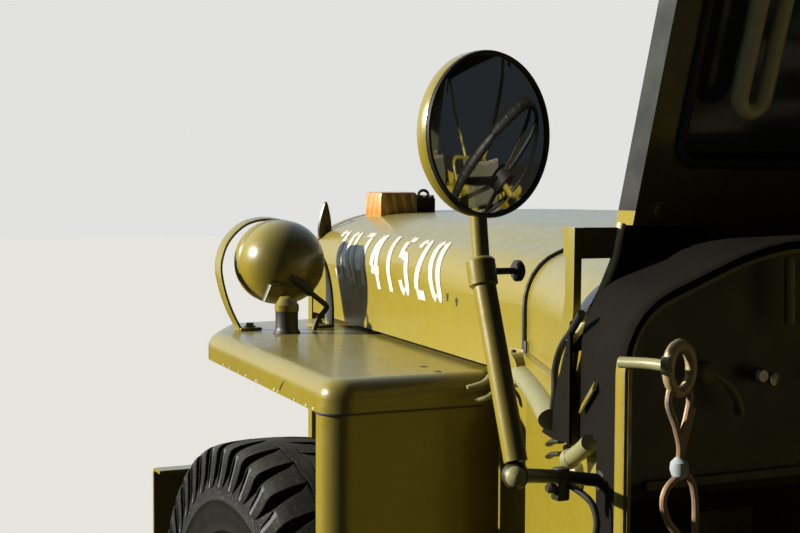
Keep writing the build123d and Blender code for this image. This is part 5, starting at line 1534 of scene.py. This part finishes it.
def make_steering_fittings():
    """Horn button, ribs of the rim and the spokes of the steering wheel."""
    axis = Vector((-math.cos(COLUMN), 0, math.sin(COLUMN)))
    side, up = basis(axis)
    button = lathe([(30, 12), (30, 18), (24, 22), (10, 24), (0, 24)], STEERING_HUB, axis, 36)
    piece("horn_button", [button], "rubber_dark", "steering_wheel")
    grips = []
    for number in range(54):
        angle = 2 * math.pi * number / 54
        way = side * math.cos(angle) + up * math.sin(angle)
        along = (up * math.cos(angle) - side * math.sin(angle)).normalized()
        rib = [(12.0, -3.0), (12.9, -1.5), (12.9, 1.5), (12.0, 3.0)]
        vertices, faces = lathe(rib, STEERING_HUB + way * 0.207, along, 16)
        grips.append((vertices, faces[:-2]))
    piece("wheel_grips", grips, "rubber_dark", "steering_wheel", sharp=60)
    rods = []
    forward = Vector((math.sin(COLUMN), 0, math.cos(COLUMN)))
    lateral = axis.cross(forward)
    for number in range(3):
        angle = math.radians(number * 120) + math.pi / 2
        way = lateral * math.cos(angle) + forward * math.sin(angle)
        for shift in (-8, 8):
            start = axis.cross(way) * (shift * MM) + axis * 0.004
            rod = [STEERING_HUB + way * reach + start for reach in (0.030, 0.205)]
            rods.append(round_bar(rod, 3, sides=10))
    piece("wheel_spokes", rods, "steel", "steering_wheel")


# Canvas top

CANVAS_HALF = 607.0
CANVAS_PROFILE = (
    # ahead, up, how much of the valance hangs down
    (-868.6, 1544.0, 1.0), (-1000, 1594, 1.0), (-1130, 1640, 1.0), (-1260, 1684, 1.0), (-1390, 1730, 1.0),
    (-1470, 1759, 1.0), (-1520, 1766, 1.0), (-1640, 1757, 1.0), (-1780, 1742, 1.0), (-1918, 1731, 1.0),
    (-2060, 1723, 1.0), (-2200, 1717, 1.0), (-2300, 1712, 1.0), (-2340, 1704, 0.75), (-2362, 1680, 0.35),
    (-2378, 1640, 0.10), (-2400, 1560, 0.02), (-2440, 1410, 0.0), (-2480, 1260, 0.0), (-2520, 1110, 0.0),
    (-2556, 975, 0.0), (-2589, 908, 0.0), (-2594, 888, 0.0),
)
CANVAS_SAGS = (
    # from, to, depth
    (-1490, -870, 9.0), (-2330, -1510, 13.0),
)
ROOF_STEPS = 40
DROP_STEPS = 8


def canvas_side(point, share, where, drop):
    """Place on the valance: drop goes from 0 at the roof's edge to 1 at the hem."""
    ripple = 3.0 * math.sin(point.x * 0.045) * drop * share
    down = 10 + (drop * 100) * share
    y = where * (CANVAS_HALF - 1.0 * (1 - drop) + ripple)
    return at(point.x, y, point.y - down * (1.0 if share > 0 else 0.2))


def canvas_roof(point, share, where):
    """Place on the roof or the back, where goes from -1 to 1 across it."""
    edge = max(abs(where) - 0.93, 0) / 0.07
    fall = 10 * edge * edge * (1.0 if share > 0.01 else 0.2)
    middle = 1 - where * where
    crown = 5.0 * middle * (1 if share > 0.5 else 0.3)
    slack = 0.0
    for low, high, deep in CANVAS_SAGS:
        if low < point.x < high:
            slack = deep * math.sin(math.pi * (point.x - low) / (high - low)) * middle
    wrinkle = 1.6 * math.sin(point.x * 0.031 + where * 5.0) * middle
    return at(point.x, where * CANVAS_HALF, point.y + crown - slack - fall + wrinkle)


def canvas_rows():
    """Rows of places across the sheet, from its front hem to the hem of its back."""
    rows = []
    for point in smooth_path([Vector((x, z, share * 100)) for x, z, share in CANVAS_PROFILE], 4):
        share = point.z / 100
        row = [canvas_side(point, share, -1, 1 - k / DROP_STEPS) for k in range(DROP_STEPS + 1)]
        row += [canvas_roof(point, share, -1 + 2 * k / ROOF_STEPS) for k in range(1, ROOF_STEPS)]
        row += [canvas_side(point, share, 1, k / DROP_STEPS) for k in range(DROP_STEPS + 1)]
        rows.append(row)
    return rows


def nearest_row(rows, ahead_mm):
    x = at(ahead_mm, 0, 0).x
    return min(rows, key=lambda row: abs(row[0].x - x))


def make_canvas():
    """One sheet over both bows, with a valance along each side and the back hanging to the tub."""
    rows = canvas_rows()
    count = len(rows[0])
    top = piece("canvas_sheet", [loft(rows, ends=False, around=False)], "canvas", sharp=60.0)
    thick = top.modifiers.new("cloth", "SOLIDIFY")
    thick.thickness = 0.0024
    thick.offset = -1.0
    smoothed(top)
    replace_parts(top, "canvas_top")
    seams = []
    for column in (DROP_STEPS + ROOF_STEPS // 4, DROP_STEPS + ROOF_STEPS * 3 // 4):
        line = [row[column] + UPWARD * 0.001 for row in rows[1:-1]]
        seams.append(strip(line, 14, 1.6, across=(0, 1, 0)))
    for ahead_mm in (-1500, -2320):
        line = [place + UPWARD * 0.0012 for place in nearest_row(rows, ahead_mm)]
        seams.append(strip(line, 30, 1.8, across=AHEAD))
    hems = [strip([row[k] for row in rows[:56]], 4.5, 16, across=(0, 1, 0)) for k in (0, count - 1)]
    hems.append(strip(rows[0], 4.5, 14, across=(1, 0, -0.3)))
    hems.append(strip(rows[-1][9:-9], 5, 16, across=AHEAD))
    with_sheet = [
        piece("canvas_seams", seams, "canvas_dark"),
        piece("canvas_hems", hems, "canvas_dark"),
    ]
    straps = []
    buckles = []
    for y in (-520, -260, 0, 260, 520):
        line = line_at((-2573, y, 958), (-2598, y, 905), (-2600, y, 878))
        straps.append(strip(smooth_path(line, 6), 24, 2.4, across=(0, 1, 0)))
        buckles.append(ring_rect(at(-2600, y, 884), 34, 22, 3))
    for side in BOTH:
        for x, z in ((-1520, 1656), (-2330, 1602)):
            line = line_at((x, 609, z), (x - 4, 600, z - 60), (x - 8, 596, z - 120), side=side)
            straps.append(strip(smooth_path(line, 6), 24, 2.4, across=AHEAD))
    with_sheet.append(piece("canvas_straps", straps, "webbing"))
    piece("strap_buckles", buckles, "steel")
    film = []
    for number in range(8):
        share = number / 7
        x, z = -2444.5 - share * 62, 1420 - share * 235
        film.append([at(x, -300 + 60 * k, z) for k in range(11)])
    pane = piece("rear_window", [loft(film, ends=False, around=False)], "window", sharp=60)
    pane.modifiers.new("film", "SOLIDIFY").thickness = 0.0012
    corners = line_at((-2443, -306, 1426), (-2443, 306, 1426), (-2506, 306, 1180), (-2506, -306, 1180))
    edge = strip(stepped(corners, 8), 22, 3)
    with_sheet += [piece("window_edge", [edge], "canvas_dark"), pane]


def smoothed(thing):
    smooth = thing.modifiers.new("smooth", "SUBSURF")
    smooth.levels = 1
    smooth.render_levels = 1


def stepped(corners, steps):
    """Places along the closed outline through the corners, ending where it starts."""
    line = []
    for first, second in zip(corners, corners[1:] + corners[:1]):
        line += [first + (second - first) * (step / steps) for step in range(steps)]
    return line + corners[:1]


def ring_rect(place, width, height, radius):
    """A rectangular buckle facing the rear."""
    w = width * MM / 2
    h = height * MM / 2
    corners = [place + Vector((-0.004, y, z)) for y, z in ((w, h), (-w, h), (-w, -h), (w, -h))]
    return round_bar(stepped(corners, 4), radius, sides=10, smooth=False)


# Cushions

SEATS = (
    # name, size, places, lean in degrees, voxel
    ("seat", (390, 402, 90), ((-1462, 290, 735), (-1462, -290, 735)), 0.0, 0.006),
    ("seat_back", (62, 358, 284), ((-1640, 290, 926), (-1640, -290, 926)), -12.0, 0.006),
    ("rear_seat", (350, 892, 90), ((-2140, 0, 735),), 0.0, 0.007),
    ("rear_back", (62, 848, 284), ((-2298, 0, 926),), -12.0, 0.007),
)
PAD_SHRINK = 10.0
PAD_SWELL = 0.024


def settle(thing):
    """Applies the modifiers of an object to its mesh."""
    depsgraph = bpy.context.evaluated_depsgraph_get()
    done = bpy.data.meshes.new_from_object(thing.evaluated_get(depsgraph))
    thing.modifiers.clear()
    thing.data = done


def cushion_mesh(name, size, voxel):
    """A pad of a size in mm, swollen by a short cloth simulation, centred on the origin."""
    build = bmesh.new()
    bmesh.ops.create_cube(build, size=1.0)
    for vertex in build.verts:
        for k in range(3):
            vertex.co[k] *= (size[k] - PAD_SHRINK) * MM
    bmesh.ops.bevel(build, geom=list(build.edges), offset=0.014, segments=3, affect="EDGES", profile=0.5)
    mesh = bpy.data.meshes.new(name)
    build.to_mesh(mesh)
    build.free()
    pad = new_object(name, mesh)
    remesh = pad.modifiers.new("voxels", "REMESH")
    remesh.mode = "VOXEL"
    remesh.voxel_size = voxel
    settle(pad)
    start = [vertex.co.copy() for vertex in pad.data.vertices]
    cloth = pad.modifiers.new("cloth", "CLOTH")
    cloth.settings.use_pressure = True
    cloth.settings.uniform_pressure_force = 4.0
    cloth.settings.quality = 5
    cloth.settings.effector_weights.gravity = 0.0
    for number in range(1, 21):
        scene.frame_set(number)
    settle(pad)
    scene.frame_set(1)
    limits = [size[k] * MM / 2 for k in range(3)]
    for vertex, first in zip(pad.data.vertices, start):
        move = vertex.co - first
        if move.length > PAD_SWELL:
            move = move.normalized() * PAD_SWELL
        place = first + move
        for k in range(3):
            place[k] = max(min(place[k], limits[k]), -limits[k])
        vertex.co = place
    return pad


def piping_loops(pad, size, flat_axis):
    """Two lines of piping round a pad, found by casting rays at it from outside."""
    half = [size[k] * MM / 2 for k in range(3)]
    u_axis, v_axis = [k for k in range(3) if k != flat_axis]
    loops = []
    for level in (-0.62, 0.62):
        loop = []
        for step in range(73):
            angle = 2 * math.pi * step / 72
            ray = Vector((0, 0, 0))
            ray[u_axis] = math.cos(angle) * half[u_axis]
            ray[v_axis] = math.sin(angle) * half[v_axis]
            origin = Vector((0, 0, 0))
            origin[flat_axis] = level * half[flat_axis]
            hit, spot, normal = pad.ray_cast(origin + ray * 3.0, -ray)[:3]
            if hit:
                loop.append(spot + normal * 0.001)
        loops.append(strip(loop, 7, 7, sides=8))
    return loops


def make_cushions():
    """Padded covers of the seats, each with its piping."""
    for name, size, places, lean, voxel in SEATS:
        pad = cushion_mesh(name, size, voxel)
        pad.data.materials.clear()
        pad.data.materials.append(finishes["cushion"])
        pad.data.shade_smooth()
        piping = piping_loops(pad, size, 2 if lean == 0.0 else 0)
        turn = Matrix.Rotation(math.radians(lean), 4, "Y")
        for number, place in enumerate(places):
            thing = pad if number == 0 else new_object(name + "_" + str(number), pad.data)
            thing.matrix_world = Matrix.Translation(at(*place)) @ turn
            smoothed(thing)
            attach(thing, "chassis")
            parts = [([thing.matrix_world @ v for v in vertices], faces) for vertices, faces in piping]
            piece(name + "_piping_" + str(number), parts, "webbing", sharp=60)
    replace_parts(bpy.data.objects["seat"], "seat_cushions")


# Finish of the frame's own nodes, which are painted unless they are named here

NODE_FINISH = {
    # The dash panel takes the near-black copy of the paint: painted shade.
    "paint_in_painted_shade": "dash_panel",
    "windshield": "windshield_frame",
    "chassis": "frame front_axle rear_axle springs knuckle_left knuckle_right tie_rod",
    "engine": "power_unit exhaust radiator",
    "glass": "windshield_glass",
    "rubber_dark": "steering_wheel",
}


def dress_nodes():
    dressed = {}
    for finish, names in NODE_FINISH.items():
        for name in names.split():
            dressed[name] = finishes[finish]
    for name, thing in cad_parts.items():
        material = dressed.get(name, finishes["paint"])
        if not thing.material_slots:
            thing.data.materials.append(material)
        for slot in thing.material_slots:
            slot.material = material


def main():
    make_stage()
    make_materials()
    dress_nodes()
    make_tyres()
    make_wheel_fittings()
    make_digits()
    make_blackout_lamp()
    for side, word in SIDES:
        make_mirror(side, word)
    make_hood_fittings()
    for side, word in SIDES:
        make_latch(side, word)
        make_hold_down(side, word)
    make_fender_fittings()
    make_body_trim()
    make_windshield()
    for side, word in SIDES:
        make_side_hardware(side, word)
    make_cowl_pads()
    make_apron()
    make_dash_fittings()
    make_front_fittings()
    make_rear_fittings()
    make_side_fittings()
    make_steering_fittings()
    make_canvas()
    make_cushions()


main()
